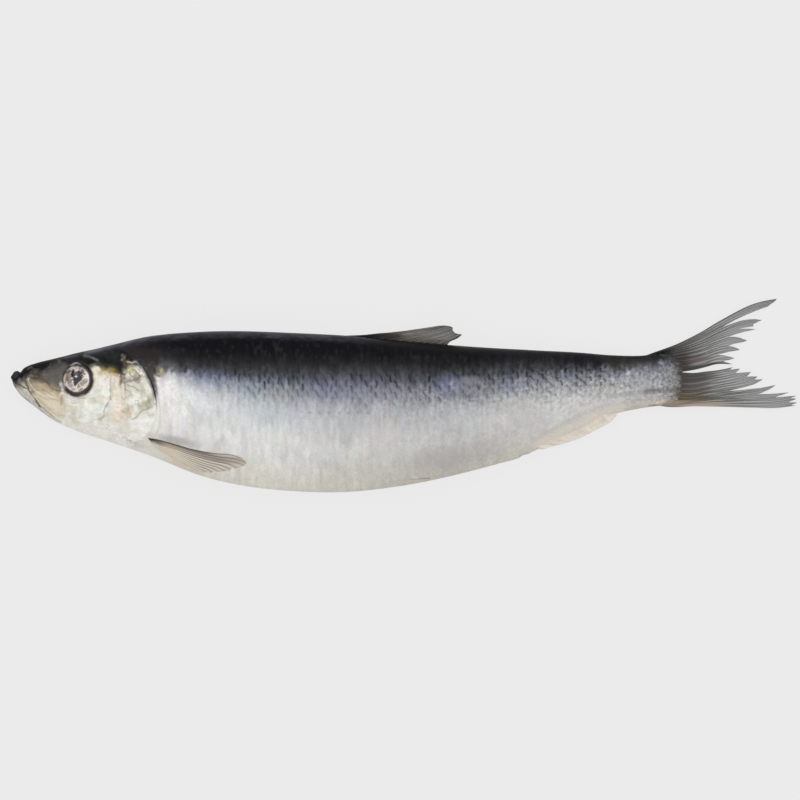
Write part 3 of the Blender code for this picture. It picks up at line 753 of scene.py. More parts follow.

# %% [markdown]
# ## Paint for the head
# The head is darkest on the crown and the jaw tip and pearly on the cheek, with olive and gold at the top
# of the gill cover. The marks are laid in the order in which a painter would lay them: pale fields, then
# the snout, the jaw and the dark crown, then stains and painted glints, then thin lines, among them
# painted highlights and the painted shade in the gill slit.

# %% The head's fields, shades and marks, as tables
# Distance along, height of the lower edge of the dark crown
CROWN_EDGE = (
    (0, -2.4), (3, -1.5), (6, -0.2), (9, 1.2), (12.8, 2.2), (15.1, 4.4), (17.5, 5.8), (20, 5.6),
    (22, 3.4), (26, 3), (30, 3.2), (33, 4.3), (36.5, 3.2), (39.3, 2.3), (41.9, 0.9), (44.4, 4),
    (46.9, 5.4), (50.3, 4.6), (52, 2), (53.6, 0.2), (56, 3.2), (60, 1.8), (66, 1.8),
)
SNOUT_FIELD = (
    (5.5, -2.5), (9, 1.4), (13, 1.4), (16, -2), (20, -6), (21.5, -10), (20.5, -16), (17, -17),
    (12, -13), (8, -8.5),
)
SNOUT_SHADES = (
    (-11, "d8cfbb"), (-8, "d4c7ae"), (-6.5, "c6b89f"), (-5, "b2a489"), (-3.4, "a99b7f"),
    (-1.9, "978b70"), (-0.4, "7b6e59"), (1.1, "5f5447"), (2.7, "45403b"), (4.2, "302f2c"),
)
GREY_FIELD = (
    (13, 4.5), (16.5, 6.8), (20.6, 7.2), (23, 5.6), (22, 2), (21.6, -0.5), (19.6, -2.4), (18.8, -5.6),
    (16.6, -4.6), (13.6, -2.2), (10.8, 0.2), (11.4, 2.6),
)
GREY_SHADES = ((-6, "6e655a"), (-2, "64605a"), (1.5, "5d5a57"), (4, "474544"), (6, "303030"))
JAW_FIELD = (
    (1, -2.4), (4.6, -4.6), (7.3, -7), (9.3, -9.9), (10.9, -11.8), (14.5, -15.2), (19, -18.2),
    (18, -21), (8, -14), (3, -9), (-0.5, -5),
)
HEAD_FIELDS = (
    # middle along, middle height, two radii, turn, colour, strength
    (34.8, -1.9, 2.8, 3.8, 0, "ebe5e4", 0.7),
    (30.6, -12.4, 5.5, 5, 0, "e0e6dd", 0.65),
    (32.6, 3, 2.2, 1.5, 0, "ebe5d0", 0.9),
    (35.4, 2, 1.8, 1.3, 0, "dcd2a4", 0.85),
    (41, -9, 3.4, 8.5, 0, "e6dccb", 0.85),
    (41.9, -13.7, 3.2, 3, 0, "e6d3bd", 0.6),
    (50.2, -6.6, 4, 5.6, 0, "e0e3d9", 0.8),
    (48.9, -12.2, 3.2, 2.6, -20, "e4e7dd", 0.6),
    (52.5, -18, 6, 4.6, 10, "ecebe8", 0.75),
    (22.4, -14.2, 3, 4.6, 0, "c8c7b8", 0.45),
)
HEAD_DABS = (
    (2.4, 0, 2.8, 2.7, 0, "131215", 1),
    # painted highlight on the dark jaw tip
    (1.7, 0.8, 1.6, 0.9, 0, "403e40", 0.75),
    (3.4, -1.8, 0.9, 0.7, 0, "7a7472", 0.75),
    (8.6, 0.4, 2.4, 1.3, 0, "39322a", 0.8),
    (9, 3, 1.5, 0.6, 0, "464a43", 0.7),
    (6.6, 2.6, 0.9, 0.4, 20, "5d5b56", 0.6),
    (12.7, 0.2, 1.3, 1, -30, "7f6a5e", 0.6),
    (7.8, -5.8, 1.9, 0.9, -48, "7d6c5e", 0.75),
    (20.8, -15.3, 1.1, 1.6, 0, "b8b5a4", 0.45),
    (20.4, -3.4, 1.3, 1.8, 10, "dccfca", 0.92),
    (38, 1.9, 2.6, 1.6, -8, "97863f", 0.95),
    (37.8, 0, 2, 1.4, 0, "bda571", 0.9),
    (35.6, 1.2, 1.6, 1, 0, "c9be8c", 0.7),
    (39.8, 0.2, 1, 0.8, 0, "cfa878", 0.85),
    (41, -0.4, 0.8, 0.9, 0, "efe4d2", 0.85),
    (42.5, 3.6, 2.3, 3, 0, "2b2024", 0.95),
    (42.6, 0.6, 1.2, 2.6, -8, "403129", 0.95),
    (42.1, -1.8, 1.4, 1.8, 0, "85786a", 0.85),
    (49.4, 6.6, 4.8, 2, -6, "221d1b", 0.9),
    (53.2, 3.4, 1.9, 3.4, 0, "2e2a27", 0.9),
    # painted glints on the top of the gill cover
    (43.2, 7.4, 1, 1.7, 12, "9a9080", 0.7),
    (47.5, 8.4, 1.2, 0.4, 0, "aba8a2", 0.7),
    (38, 8, 3.6, 2, -8, "2f332c", 0.55),
    (47.4, 1.5, 3.8, 3.4, -10, "989078", 1),
    (47.2, -1, 2.8, 1, 8, "8c857a", 0.75),
    (45.2, 4.8, 1.7, 1.5, 0, "564f45", 0.85),
    (45.2, 2.7, 1.5, 0.9, 0, "989070", 0.75),
    (49.2, 4.8, 1.9, 1.1, 0, "504b44", 0.75),
    (53.2, -6.4, 1.8, 2.4, 0, "e8e5db", 0.85),
    (45.6, 2.3, 1.1, 0.9, 0, "c7c18f", 0.8),
    (46.8, 3.9, 1.5, 0.7, 0, "a39b86", 0.7),
    # painted highlight on the cover's lobe
    (49.6, 1.6, 0.9, 1.4, 15, "efeee0", 0.9),
    (48.3, 2.9, 0.9, 0.6, 0, "d3ceb8", 0.75),
    (46.6, -0.6, 1.3, 0.7, 10, "a39a93", 0.7),
    (49.6, -0.9, 1.2, 0.5, 10, "75726b", 0.6),
    (47.8, -2.3, 1.4, 0.6, 15, "8f8983", 0.65),
    (43, -3.3, 0.5, 0.8, 0, "ddd6cc", 0.8),
    (44.5, -2.1, 0.7, 0.4, 0, "5a5048", 0.65),
    (45.6, -3.4, 0.6, 0.4, 30, "5a5048", 0.65),
    (52.2, -10.3, 3, 1.4, 25, "a5a18a", 0.8),
    (43.3, -13.7, 1.3, 0.6, -10, "ad9580", 0.65),
    (43.8, -13, 0.4, 0.6, 0, "8a6a55", 0.7),
    (45.5, -14.5, 0.9, 1.6, 0, "e0c694", 0.6),
    (33.7, -16.2, 1.7, 0.8, 10, "c3b2aa", 0.65),
    (46.5, -25, 3.4, 0.9, -16, "a8a4a0", 0.65),
    (50.3, -26.8, 1.8, 0.8, -30, "98948f", 0.6),
    (52.5, -19.5, 2.4, 2.6, 20, "e9ecdc", 0.6),
)
HEAD_STROKES = (
    # line, half width, colour, strength
    (((0.9, -4.4), (3, -7), (6, -9.8), (9.4, -12.4), (14, -15.9)), 0.4, "85817c", 0.7),
    (((2.6, -5), (5.6, -7.8), (9, -11.4)), 0.3, "d2cfc8", 0.65),
    (((8.5, -8.6), (11.6, -12), (15, -14.8), (19, -17.4)), 0.3, "8f806a", 0.65),
    (((10, -8.4), (13.4, -11.6), (17.4, -14.6)), 0.22, "b39f80", 0.6),
    (((10.8, -5.6), (14.4, -8.2), (18.4, -9.6)), 0.22, "8f7f66", 0.55),
    (((9.8, -3.6), (13, -5.4), (16, -7.6)), 0.25, "8a7b60", 0.6),
    (((1.7, -2.4), (4.6, -4.1), (7.3, -6.5), (9.3, -9.5), (10.9, -11.4)), 0.34, "3a322b", 0.88),
    (((5.4, 0.5), (5.5, -2.4), (6.3, -4.6)), 0.34, "38322d", 0.85),
    # painted highlights along the front of the upper jaw
    (((6.5, -0.9), (7.3, -2.6), (9.3, -4.6)), 0.26, "c9c4bd", 0.8),
    (((9.3, -4.6), (11.2, -6.5), (13.6, -7.6)), 0.36, "d9d0c3", 0.6),
    (((7.8, -2.2), (9, -3.8), (10.6, -5.2)), 0.2, "776a5b", 0.7),
    (((7.6, -5), (9.6, -6.6), (12, -8), (14.6, -9)), 0.2, "a39279", 0.5),
    (((10.8, 0), (13.7, -2.2), (15.6, -4.1), (17.6, -5.5)), 0.36, "5f4d3c", 0.8),
    (((17.6, -5.4), (19, -5.6), (20.6, -6.2), (22.4, -6.6)), 0.24, "4a403a", 0.75),
    (((17.2, -6.2), (17.9, -9.2)), 0.2, "a59684", 0.5),
    (((18.9, -7.6), (19.4, -10.4)), 0.35, "857d5c", 0.6),
    (((21.4, -8.1), (24.6, -9), (27.8, -8.6)), 0.22, "c5b8a9", 0.7),
    (((22.4, -9.4), (24.4, -9.9), (26.4, -9.7)), 0.22, "b09e8f", 0.75),
    (((29.4, -8.8), (32.6, -6.3), (34.6, -4.2)), 0.85, "c9d2cc", 0.65),
    (
        ((37.9, 0.9), (38, -3.6), (37.9, -6.9), (37.1, -10), (36.1, -12.6), (35.1, -15.1), (33.7, -16.5)),
        0.26, "93938f", 0.8,
    ),
    (((37.6, -7.6), (37, -10), (36.2, -12.2)), 0.4, "8c8d86", 0.5),
    # painted green glint on the crown
    (((27.6, 7.9), (30, 7.4), (33.1, 6)), 0.55, "7f8a7c", 0.6),
    (((33.4, 4.8), (36.4, 4.6), (40, 4)), 0.9, "353b31", 0.75),
    (((42.2, 0.6), (42.3, -0.8), (42.5, -2)), 0.42, "4a3e35", 0.85),
    (((42, -2.2), (42.1, -3.8)), 0.2, "4c443c", 0.6),
    (((43.7, -3.2), (43.8, -5.2)), 0.22, "5a5048", 0.6),
    (((46.4, 4.7), (48.6, 4.6), (50.3, 3.9), (51.6, 2)), 0.3, "2d2b28", 0.8),
    # painted highlight arc along the top of the gill cover
    (((44.7, 5.4), (46.9, 5.7), (49.4, 5.3), (50.6, 4.5)), 0.3, "c3beb2", 0.95),
    (((48.4, 3.4), (48.9, 2), (48.8, 0.8)), 0.16, "6f6a58", 0.6),
    (((50.6, 3), (50.4, 1), (50.8, -0.4)), 0.16, "7a766a", 0.5),
    # painted shade in the gill slit
    (((50.8, 4), (51.5, 2), (52.7, -0.8), (53.5, -3.3), (54.3, -6.1), (55.2, -8.9)), 0.34, "1d191a", 0.95),
    (((43.8, -2.2), (46, -1.6), (48.9, -0.2)), 0.4, "7d736b", 0.75),
    (((44.6, -2.9), (47, -3.9), (49.6, -5.6)), 0.3, "77736b", 0.75),
    (((55.3, -10.3), (53.1, -12), (49.4, -14.2), (46.6, -16.2)), 0.3, "8b866b", 0.75),
    (((56.6, -8.6), (56.9, -14), (56.6, -20)), 0.3, "cfcabc", 0.6),
)
# Distance along, how far the brown under the crown reaches down
SHADE_REACH = ((0, 5), (8, 5), (16, 2), (30, 1.6), (48, 2.2), (56, 1))
print("the head gets", len(HEAD_FIELDS + HEAD_DABS), "dabs and", len(HEAD_STROKES), "strokes")

# %% Wash, fields, dabs and strokes of the head
# Blots are warped far, so that a dab becomes a stain, and patchy thins the paint here and there
BLOT_WARP = 3.6
warp = [noise(head_along, head_height, 1.8, seed, 3) for seed in (111, 117)]
blot_along, blot_height = head_along + BLOT_WARP * warp[0], head_height + BLOT_WARP * warp[1]
patchy = np.clip(0.88 + 2.2 * noise(head_along, head_height, 0.8, 121, 2), 0.15, 1)
head_paint = np.ones((len(head_along), 3)) * linear("e6e4dd")
lay_dabs(head_paint, blot_along, blot_height, HEAD_FIELDS, 0.7)
snout = inside(blot_along, blot_height, SNOUT_FIELD, 1.1)
snout_level = mark_height + 0.3 * (head_along - 12.4) + 4 * uneven[1]
lay(head_paint, 0.95 * snout, ramp(snout_level, SNOUT_SHADES))
lay(head_paint, 0.80 * inside(mark_along, mark_height, JAW_FIELD, 0.7), "b2aea6")
under_crown = curve_over(CROWN_EDGE, mark_along) - mark_height
stained = noise(head_along, head_height, 3.0, 95, 3)
smudged = noise(head_along, head_height, 2.4, 131, 3)
brown = 1 - ease(0.0, 1.0, (under_crown + 3 * stained) / lines_over(SHADE_REACH, head_along))
lay(head_paint, 0.8 * brown, "4d4436")
grey = inside(blot_along, blot_height, GREY_FIELD, 1.5)
lay(head_paint, grey, ramp(head_height - 0.5 * (head_along - 16), GREY_SHADES))
lay(head_paint, 1 - ease(-1.6, 0.7, under_crown + 1.5 * stained), "17171a")
lay_dabs(head_paint, blot_along, blot_height, HEAD_DABS, 0.6, patchy)
lay_strokes(head_paint, mark_along, mark_height, HEAD_STROKES, 0.65 + 0.35 * patchy)
# The painted sheen of the back's rim runs on over the crown
lay(head_paint, 0.8 * rim[on_head] * ease(18, 32, head_along), BACK_RIM_SHEEN)
print("the dark crown covers", round(100 * float(np.mean(under_crown < 0))), "% of the head's points")

# %% Painted shade round the socket, and veins
# A ring of painted shade round the socket is thick behind and below the eye and almost gone in front of it
THIN_RING = 160  # where the ring is thin, in degrees from straight behind the eye
SOCKET_SHADE_COLOURS = ((-60, "2a2523"), (0, "453e34"), (60, "3b3a30"))
TOP_ARC_HIGHLIGHT = ((22.7, 4.4), (24.9, 5.2), (27.4, 4.2))
VEIN_WIDTH = 0.03  # how near to 0 the noise is where a vein is


def off_thin_ring(degrees):
    """0 where the painted shade round the eye is thin and 1 away from there."""
    return ease(35, 65, np.abs((degrees - THIN_RING + 180) % 360 - 180))


eye_turn = np.degrees(np.arctan2(head_height - EYE_PLACE[1], head_along - EYE_PLACE[0]))
socket_shade = bell(from_eye - 1.03, 0.13) * (0.25 + 0.75 * off_thin_ring(eye_turn))
lay(head_paint, 0.95 * socket_shade, ramp(eye_turn, SOCKET_SHADE_COLOURS))
# A painted highlight arc along the top of the socket
lay(head_paint, 0.95 * stroke(head_along, head_height, TOP_ARC_HIGHLIGHT, 0.17), "bdbbb6")
mottle = noise(head_along, head_height, 1.4, 91, 3)
veins = 1 - np.abs(noise(head_along, head_height, 3.2, 97, 3)) / VEIN_WIDTH
on_cheek = ease(0.5, 3.0, under_crown) * ease(18, 24, head_along)
on_cheek = on_cheek * (0.25 + 0.75 * ease(-24, -14, head_height))
on_cover = on_cheek * ease(37, 46, head_along) * ease(-20, -8, head_height)
lay(head_paint, 0.45 * on_cheek * ease(0.03, 0.20, stained), "cbc1a6")
cover_top = dab(head_along, head_height, (47.4, 1.0), (4.4, 4.4), 0, 0.4)
lay(head_paint, 0.40 * on_cheek * (1 - 0.85 * cover_top) * ease(0.03, 0.18, smudged), "f2f1ec")
lay(head_paint, 0.42 * on_cover * ease(0.02, 0.16, -smudged), "aaa48f")
lay(head_paint, (0.20 + 0.40 * on_cover) * on_cheek * np.clip(veins, 0, 1), "77705f")
shade(head_paint, 0.30 * mottle)
print("veins show on", round(100 * float(np.mean(veins > 0))), "% of the head's points")

# %% Join the head's and the body's paint along the gill cover's edge
behind_cover = np.broadcast_to(station - GILL_ALONG, px.shape)
head_share = 1 - ease(-0.9, 0.3, behind_cover[on_head])
paint[on_head] += head_share[:, None] * (head_paint - paint[on_head])
# A painted highlight along the top edge of the nape
nape_highlight = clouded * bell(from_back - 0.7, 0.6) * between(16, 24, 42, 62, px)
lay(paint, 0.60 * nape_highlight, "6f6f78")

# Behind the cover's top the crown runs on into a dark wedge that narrows down the slit
WEDGE = (
    (43.6, 11.5), (56.8, 10.3), (57, 6), (55.6, 2.7), (55, -0.4), (55.4, -3.4), (55.8, -7.3),
    (54.9, -8.6), (53.9, -5), (52.2, -1.1), (50.9, 2), (49.2, 4.6), (47.2, 6.6), (44, 8),
)
wedge = 0.92 * inside(px + 0.8 * grain, py + 0.5 * speckle, WEDGE, 0.9)
lay(paint, wedge * (1 - 0.12 * ease(0.02, 0.22, grain) * ease(1.0, 3.5, py)), "2a2725")

# The slit gets painted shade, dark at the top and fading to a pale rim below, and a softer painted shade
# just behind the lip
slit_shade_strength = gill_open * (0.03 + 0.97 * ease(-11.0, -7.0, py))
slit_rows = (behind_cover > 0.05) & (behind_cover < 0.5) & (gill_open > 0.02)
lay(paint, 0.75 * slit_rows * slit_shade_strength, "2a2420")
slit_shade = np.exp(-np.maximum(behind_cover, 0) / 0.7) * (behind_cover > 0.4) * slit_shade_strength
lay(paint, 0.45 * slit_shade, "3a322d")
paint = np.clip(paint, 0.0, 0.95)
silver = 0.15 + 0.85 * np.clip(paint.mean(axis=-1) / 0.55, 0, 1)
print("the paint's mean colour is", np.round(paint.mean(axis=(0, 1)), 2))

# %% [markdown]
# ## Materials
# Salted skin is wet and pearly: thin plates of guanine under clear scales mirror the light, so
# it is partly a metal, with a soft gloss from the brine on it. The fins are a dry horny web on
# fine rays. The eye is wet glass-clear tissue over silver. Each material reads its own paint
# from the mesh and adds what is too fine for the mesh.

# %% A helper for nodes
def add_node(tree, kind, inputs=None, **settings):
    """Adds a node, sets its properties, and gives each named input a value or another node's output."""
    node = tree.nodes.new(kind)
    for name, value in settings.items():
        setattr(node, name, value)
    for socket, source in (inputs or {}).items():
        if isinstance(source, bpy.types.NodeSocket):
            tree.links.new(source, node.inputs[socket])
        else:
            node.inputs[socket].default_value = source
    return node


def new_material(name, sockets):
    """A material, and its shader with some sockets set."""
    material = bpy.data.materials.new(name)
    material.use_nodes = True
    shader = material.node_tree.nodes["Principled BSDF"]
    for socket, value in sockets.items():
        shader.inputs[socket].default_value = value
    return material, shader


# %% The materials
GRAIN_LOW, GRAIN_HIGH = 0.3, 0.7  # where nearly all values of the grain lie
GRAIN_TINT = 0.07  # how much lighter or darker a grain is


def spread_grain(tree, grain, low, high):
    """Turns the grain's values into values from low to high."""
    values = {"Value": grain, "From Min": GRAIN_LOW, "From Max": GRAIN_HIGH, "To Min": low, "To Max": high}
    return add_node(tree, "ShaderNodeMapRange", values).outputs["Result"]


def painted_material(name, roughness, spread, grain_mm, bump_mm, metal, sockets):
    """Paint from the mesh, under fine grain that varies roughness and height.

    metal is how much of a metal the material is where the mesh's layer of silver is 1.
    """
    material, shader = new_material(name, sockets)
    tree = material.node_tree
    colour = add_node(tree, "ShaderNodeAttribute", attribute_name="paint")
    place = add_node(tree, "ShaderNodeTexCoord").outputs["Object"]
    texture = {"Vector": place, "Scale": 1 / (grain_mm * MM), "Detail": 3.0}
    grain = add_node(tree, "ShaderNodeTexNoise", texture).outputs["Fac"]
    tint = spread_grain(tree, grain, 1 - GRAIN_TINT, 1 + GRAIN_TINT)
    factors = {0: colour.outputs["Color"], 1: tint}
    tinted = add_node(tree, "ShaderNodeVectorMath", factors, operation="MULTIPLY")
    tree.links.new(tinted.outputs["Vector"], shader.inputs["Base Color"])
    rough = spread_grain(tree, grain, roughness - spread, roughness + spread)
    tree.links.new(rough, shader.inputs["Roughness"])
    bump = add_node(tree, "ShaderNodeBump", {"Height": grain, "Distance": bump_mm * MM, "Strength": 1.0})
    tree.links.new(bump.outputs["Normal"], shader.inputs["Normal"])
    if metal:
        mirror = add_node(tree, "ShaderNodeAttribute", attribute_name="silver")
        factors = {0: mirror.outputs["Fac"], 1: metal}
        amount = add_node(tree, "ShaderNodeMath", factors, operation="MULTIPLY")
        tree.links.new(amount.outputs["Value"], shader.inputs["Metallic"])
    return material


skin_finish = painted_material(
    "salted silver skin", 0.42, 0.10, 0.5, 0.02, 0.12,
    {"Specular IOR Level": 0.06, "Coat Weight": 0.04, "Coat Roughness": 0.15},
)
fin_finish = painted_material("horny fin web", 0.55, 0.10, 0.4, 0.02, 0, {"Specular IOR Level": 0.12})
eye_finish = painted_material(
    "salted eye", 0.25, 0.05, 0.3, 0.005, 0.2,
    {"Specular IOR Level": 0.3, "Coat Weight": 0.3, "Coat Roughness": 0.05},
)
print("the materials are", [material.name for material in (skin_finish, fin_finish, eye_finish)])

# %% [markdown]
# ## The skin in three pieces
# One mesh of half a million triangles is more than other programs take well, so the grid is cut
# across into head, fore body and rear body. Each piece is closed, and takes its normals from the
# whole grid, so that no seam shows.

# %% Cut the grid and dress the pieces
PIECE_ENDS = (
    # name, first and last ring by its station
    ("head_skin", 0, 63), ("fore_body_skin", 63, 161), ("rear_body_skin", 161, 999),
)
for name, start, end in PIECE_ENDS:
    rows = np.flatnonzero((station[:, 0] >= start) & (station[:, 0] < end))
    take = slice(rows[0], min(rows[-1] + 2, len(skin)))  # up to the first ring of the next piece
    layers = {"paint": paint[take], "silver": silver[take]}
    piece = closed_grid(name, skin[take], layers, skin_normals[take])
    dress(piece, skin_finish)

# %% [markdown]
# ## Eyes
# The eye is a flattened ball in its socket, facing the way the cheek faces. Its front is a dome of rings
# from the pupil out to the rim: a sunken dark pupil with a cloudy middle, as salted eyes have, and a
# painted glint on it, round it a silver ring mottled dark, at its edge painted shade of the socket, and a
# clear wet coat over all.

# %% The eye's measures, and its pupil and stains as shares of its radius
EYE_HEIGHT, EYE_BACK = 1.9, 1.2  # how far its front and its back stand out from the rim
EYE_SINK = 0.55  # how far the rim lies under the cheek
EYE_RINGS, EYE_BACK_RINGS, EYE_POINTS = 60, 6, 128
PUPIL_SINK, PUPIL_WIDTH, PUPIL_UNEVEN = 0.25, 0.98, 0.22
IRIS_RIDGE, IRIS_RIDGE_AT, IRIS_RIDGE_WIDTH = 0.08, 0.80, 0.06
CHEEK_REACH = 2.5  # the cheek's slope is measured over this distance to each side
PUPIL = (
    # across and up
    (-0.38, 0.66), (-0.22, 0.64), (-0.15, 0.46), (0.12, 0.59), (0.26, 0.41), (0.47, 0.18),
    (0.31, -0.1), (0.08, -0.28), (-0.08, -0.47), (-0.24, -0.24), (-0.34, 0.09), (-0.47, 0.27),
    (-0.43, 0.55),
)
EYE_DABS = (
    # middle across, middle up, two radii, turn, colour, strength
    (-0.66, 0.62, 0.28, 0.24, 30, "8d8782", 0.75),
    (-0.6, 0.5, 0.16, 0.1, 50, "3d3734", 0.8),
    (-0.8, 0.45, 0.07, 0.16, -20, "4a423e", 0.7),
    (-0.66, 0.04, 0.12, 0.17, 0, "7a684c", 0.8),
    (-0.15, 0.82, 0.28, 0.07, 5, "d9d6cf", 0.7),
    (0.36, 0.52, 0.1, 0.16, 35, "4f4742", 0.75),
    (0.5, 0.38, 0.06, 0.14, 30, "3a3431", 0.7),
    (-0.2, -0.68, 0.16, 0.09, 0, "8a8078", 0.75),
    (0.26, -0.72, 0.22, 0.05, 32, "4a423e", 0.8),
    (0.34, -0.62, 0.16, 0.03, 32, "6a605a", 0.7),
)
print("the eye is", 2 * EYE_RADIUS, "mm wide")


# %% Two domed eyes
def cheek_axes(place, direction):
    """The skin's own point there and three unit directions: along it, up it and out of it."""

    def at(a, h):
        return np.array([a, h, backbone_at(a) + direction * skin_out(a, h)], float)

    lengthwise = at(place[0] + CHEEK_REACH, place[1]) - at(place[0] - CHEEK_REACH, place[1])
    upward = at(place[0], place[1] + CHEEK_REACH) - at(place[0], place[1] - CHEEK_REACH)
    facing, lengthwise = unit(np.cross(lengthwise, upward) * direction), unit(lengthwise)
    return at(*place), lengthwise, np.cross(facing, lengthwise) * direction, facing


def eye_paint(ring, across, up, uneven, uneven_fine, pupil):
    """Silver with brown and pale stains, a broken ring, the pupil with its cloud and a painted glint, and
    a dark rim of painted socket shade.
    """
    paint = np.ones((*across.shape, 3)) * linear("dacec7")
    spin = np.arctan2(up, across)
    lay(paint, 0.5 * ease(0.0, 0.25, uneven), "b3a59d")
    front_dark = ease(-0.9, 0.5, -across - 0.2 + 0.5 * up)
    lay(paint, 0.75 * front_dark * ease(0.02, 0.18, uneven_fine), "5d524b")
    lay(paint, 0.35 * ease(0.03, 0.18, -uneven_fine), "e9e0dc")
    from_ring = np.abs(np.hypot(across + 0.02, up - 0.1) - 0.62 + 0.5 * uneven)
    unbroken = ease(-0.05, 0.10, noise(spin * 3 + 20, 0 * spin, 1.0, 141, 2))
    lay(paint, 0.75 * (1 - ease(0.08, 0.20, from_ring)) * unbroken, "6b605a")
    lay_dabs(paint, across + 0.1 * uneven, up + 0.1 * uneven, EYE_DABS, 0.4)
    lay(paint, pupil, "141212")
    lay(paint, 0.70 * dab(across, up, (-0.04, 0.33), (0.12, 0.15), 0, 0.6), "5d5b62")
    # painted glint on the pupil's cloudy middle
    lay(paint, 0.90 * dab(across, up, (-0.05, 0.17), (0.09, 0.06), 0, 0.5), "d5d5dc")
    # Painted shade of the socket darkens the eye's edge: thick behind and below, and thinner all round
    socket = off_thin_ring(np.degrees(spin))
    lay(paint, 0.95 * ease(0.80, 0.88, ring + 0.06 * uneven) * socket, "2a2523")
    lay(paint, (0.45 + 0.40 * socket) * ease(0.90, 0.97, ring + 0.10 * uneven), "38312e")
    return paint


def make_eye(name, direction):
    """A dome whose height falls as the root of 1 - r squared, with a low back of the same rim."""
    ring = np.concatenate([np.linspace(0.02, 1, EYE_RINGS), np.linspace(0.9, 0.1, EYE_BACK_RINGS)])
    ring = ring[:, None]
    front = (np.arange(len(ring)) < EYE_RINGS)[:, None]
    angle = np.linspace(0, 2 * np.pi, EYE_POINTS, endpoint=False)[None, :]
    across, up = ring * np.cos(angle), ring * np.sin(angle)
    dome = np.sqrt(np.maximum(1 - ring**2, 0))
    rise = np.where(front, EYE_HEIGHT * dome, -EYE_BACK * dome)
    uneven = noise(across * 9 + 40, up * 9 + 40, 2.0, 101, 3)
    uneven_fine = noise(across * 9 + 40, up * 9 + 40, 0.9, 103, 3)
    wander = PUPIL_UNEVEN * uneven_fine
    pupil = inside(across / PUPIL_WIDTH + wander, up + wander, PUPIL, 0.06)
    ridge = IRIS_RIDGE * bell(ring - IRIS_RIDGE_AT, IRIS_RIDGE_WIDTH)
    rise = rise - front * (PUPIL_SINK * pupil - ridge)
    middle, lengthwise, upward, facing = cheek_axes(EYE_PLACE, direction)
    points = middle + EYE_RADIUS * (across[..., None] * lengthwise + up[..., None] * upward)
    points = points + (rise[..., None] - EYE_SINK) * facing
    paint = eye_paint(ring, across, up, uneven, uneven_fine, pupil)
    silver = np.clip(paint.mean(axis=-1) / 0.5, 0, 1)
    eye = closed_grid(name, points, {"paint": paint, "silver": silver})
    dress(eye, eye_finish)


make_eye("eye_left", 1)
make_eye("eye_right", -1)

# %% [markdown]
# ## Fins
# A fin is a thin web held by bony rays that fan out from its root and split towards the margin.
# Each one is a patch between four edges, its root, its margin, its first ray and its last, which
# is the usual way to fill a curved outline with a grid. Across it, a wave of thickness makes the
# rays. At the margin, a table of wear says how much of each ray is lost, because a salted fish's
# fins are split and frayed.

# %% The edges and wear of each fin
# Wear is how much of each ray is gone at the margin: places across the fin, each with its share lost
FIN_DEFAULTS = {
    # how far it bends off the skin, how far its rays split, how deep they are, how thin its tip is
    "lift": 0, "splits": 1, "ray_depth": 0.68, "thinning": 0.75, "wear": ((0, 0), (1, 0)),
}
POINTS_A_RAY = 18
FIN_CLEAR = 0.15  # how far a paired fin stands off the skin at its root
RIM_THICKNESS = 0.35  # share of the thickness that is left at the edges
RAY_SHARPNESS = 3
RAGGEDNESS = 0.02  # how unevenly the margin ends, as a share of each ray
RIPPLE_LONG, RIPPLE_SHORT = 0.35, 0.25
PAIRED_RIPPLE = 0.25  # the paired fins lie on the skin and ripple less
CAUDAL_UPPER = {
    "root": ((239, 7), (252.5, 8), (256, 5.5), (256.4, 1.75)),
    "margin": ((293.4, 29.9), (287.4, 21.6), (281.3, 13.2), (278.4, 9.6), (276.1, 4.7)),
    "first": (
        (239, 7), (243, 8.2), (246, 9.3), (250.6, 10.9), (255.2, 12.7), (259.8, 14.9), (264.4, 17.3),
        (269, 20.1), (273.6, 22.7), (278.2, 25.2), (282.4, 27.2), (287, 28.7), (293.4, 29.9),
    ),
    "last": ((256.4, 1.75), (261.5, 2.6), (265.5, 3.6), (269.8, 4.75), (276.1, 4.7)),
    "rays": 10, "thickness": 1.5,
    "wear": (
        (0, 0), (0.06, 0.01), (0.11, 0.035), (0.15, 0.09), (0.185, 0.17), (0.215, 0.28), (0.235, 0.38),
        (0.25, 0.37), (0.275, 0.22), (0.305, 0.08), (0.33, 0), (0.39, 0.06), (0.43, 0.035),
        (0.443, 0.19), (0.47, 0), (0.5, 0.08), (0.56, 0.27), (0.6, 0.12), (0.65, 0), (0.68, 0.06),
        (0.73, 0.21), (0.77, 0.07), (0.8, 0), (0.83, 0.12), (0.865, 0.33), (0.9, 0.1), (0.92, 0),
        (0.965, 0.19), (1, 0),
    ),
}
CAUDAL_LOWER = {
    "root": ((256.4, 1.65), (256, -5), (252.6, -8.4), (243, -9.8)),
    "margin": (
        (276.2, 3.6), (282.9, 1.9), (287.2, -0.8), (292.8, -3.1), (297.9, -5.9), (300.5, -7.1),
        (301, -9.2), (300.6, -11.1),
    ),
    "first": ((256.4, 1.65), (261.6, 1.45), (265.5, 1.9), (270.2, 2.4), (276.2, 3.6)),
    "last": (
        (243, -9.8), (250, -11.5), (262, -11.4), (273.7, -11.6), (283.4, -11.9), (293.2, -12),
        (300.6, -11.1),
    ),
    "rays": 10, "thickness": 1.5,
    "wear": (
        (0, 0), (0.045, 0.12), (0.09, 0), (0.16, 0.16), (0.235, 0), (0.285, 0.1), (0.33, 0),
        (0.37, 0.06), (0.405, 0), (0.45, 0.13), (0.495, 0.44), (0.51, 0.4), (0.59, 0), (0.69, 0.21),
        (0.78, 0), (0.83, 0.15), (0.876, 0), (0.895, 0.05), (0.913, 0), (0.94, 0.06), (0.963, 0),
        (0.985, 0.045), (1, 0),
    ),
}
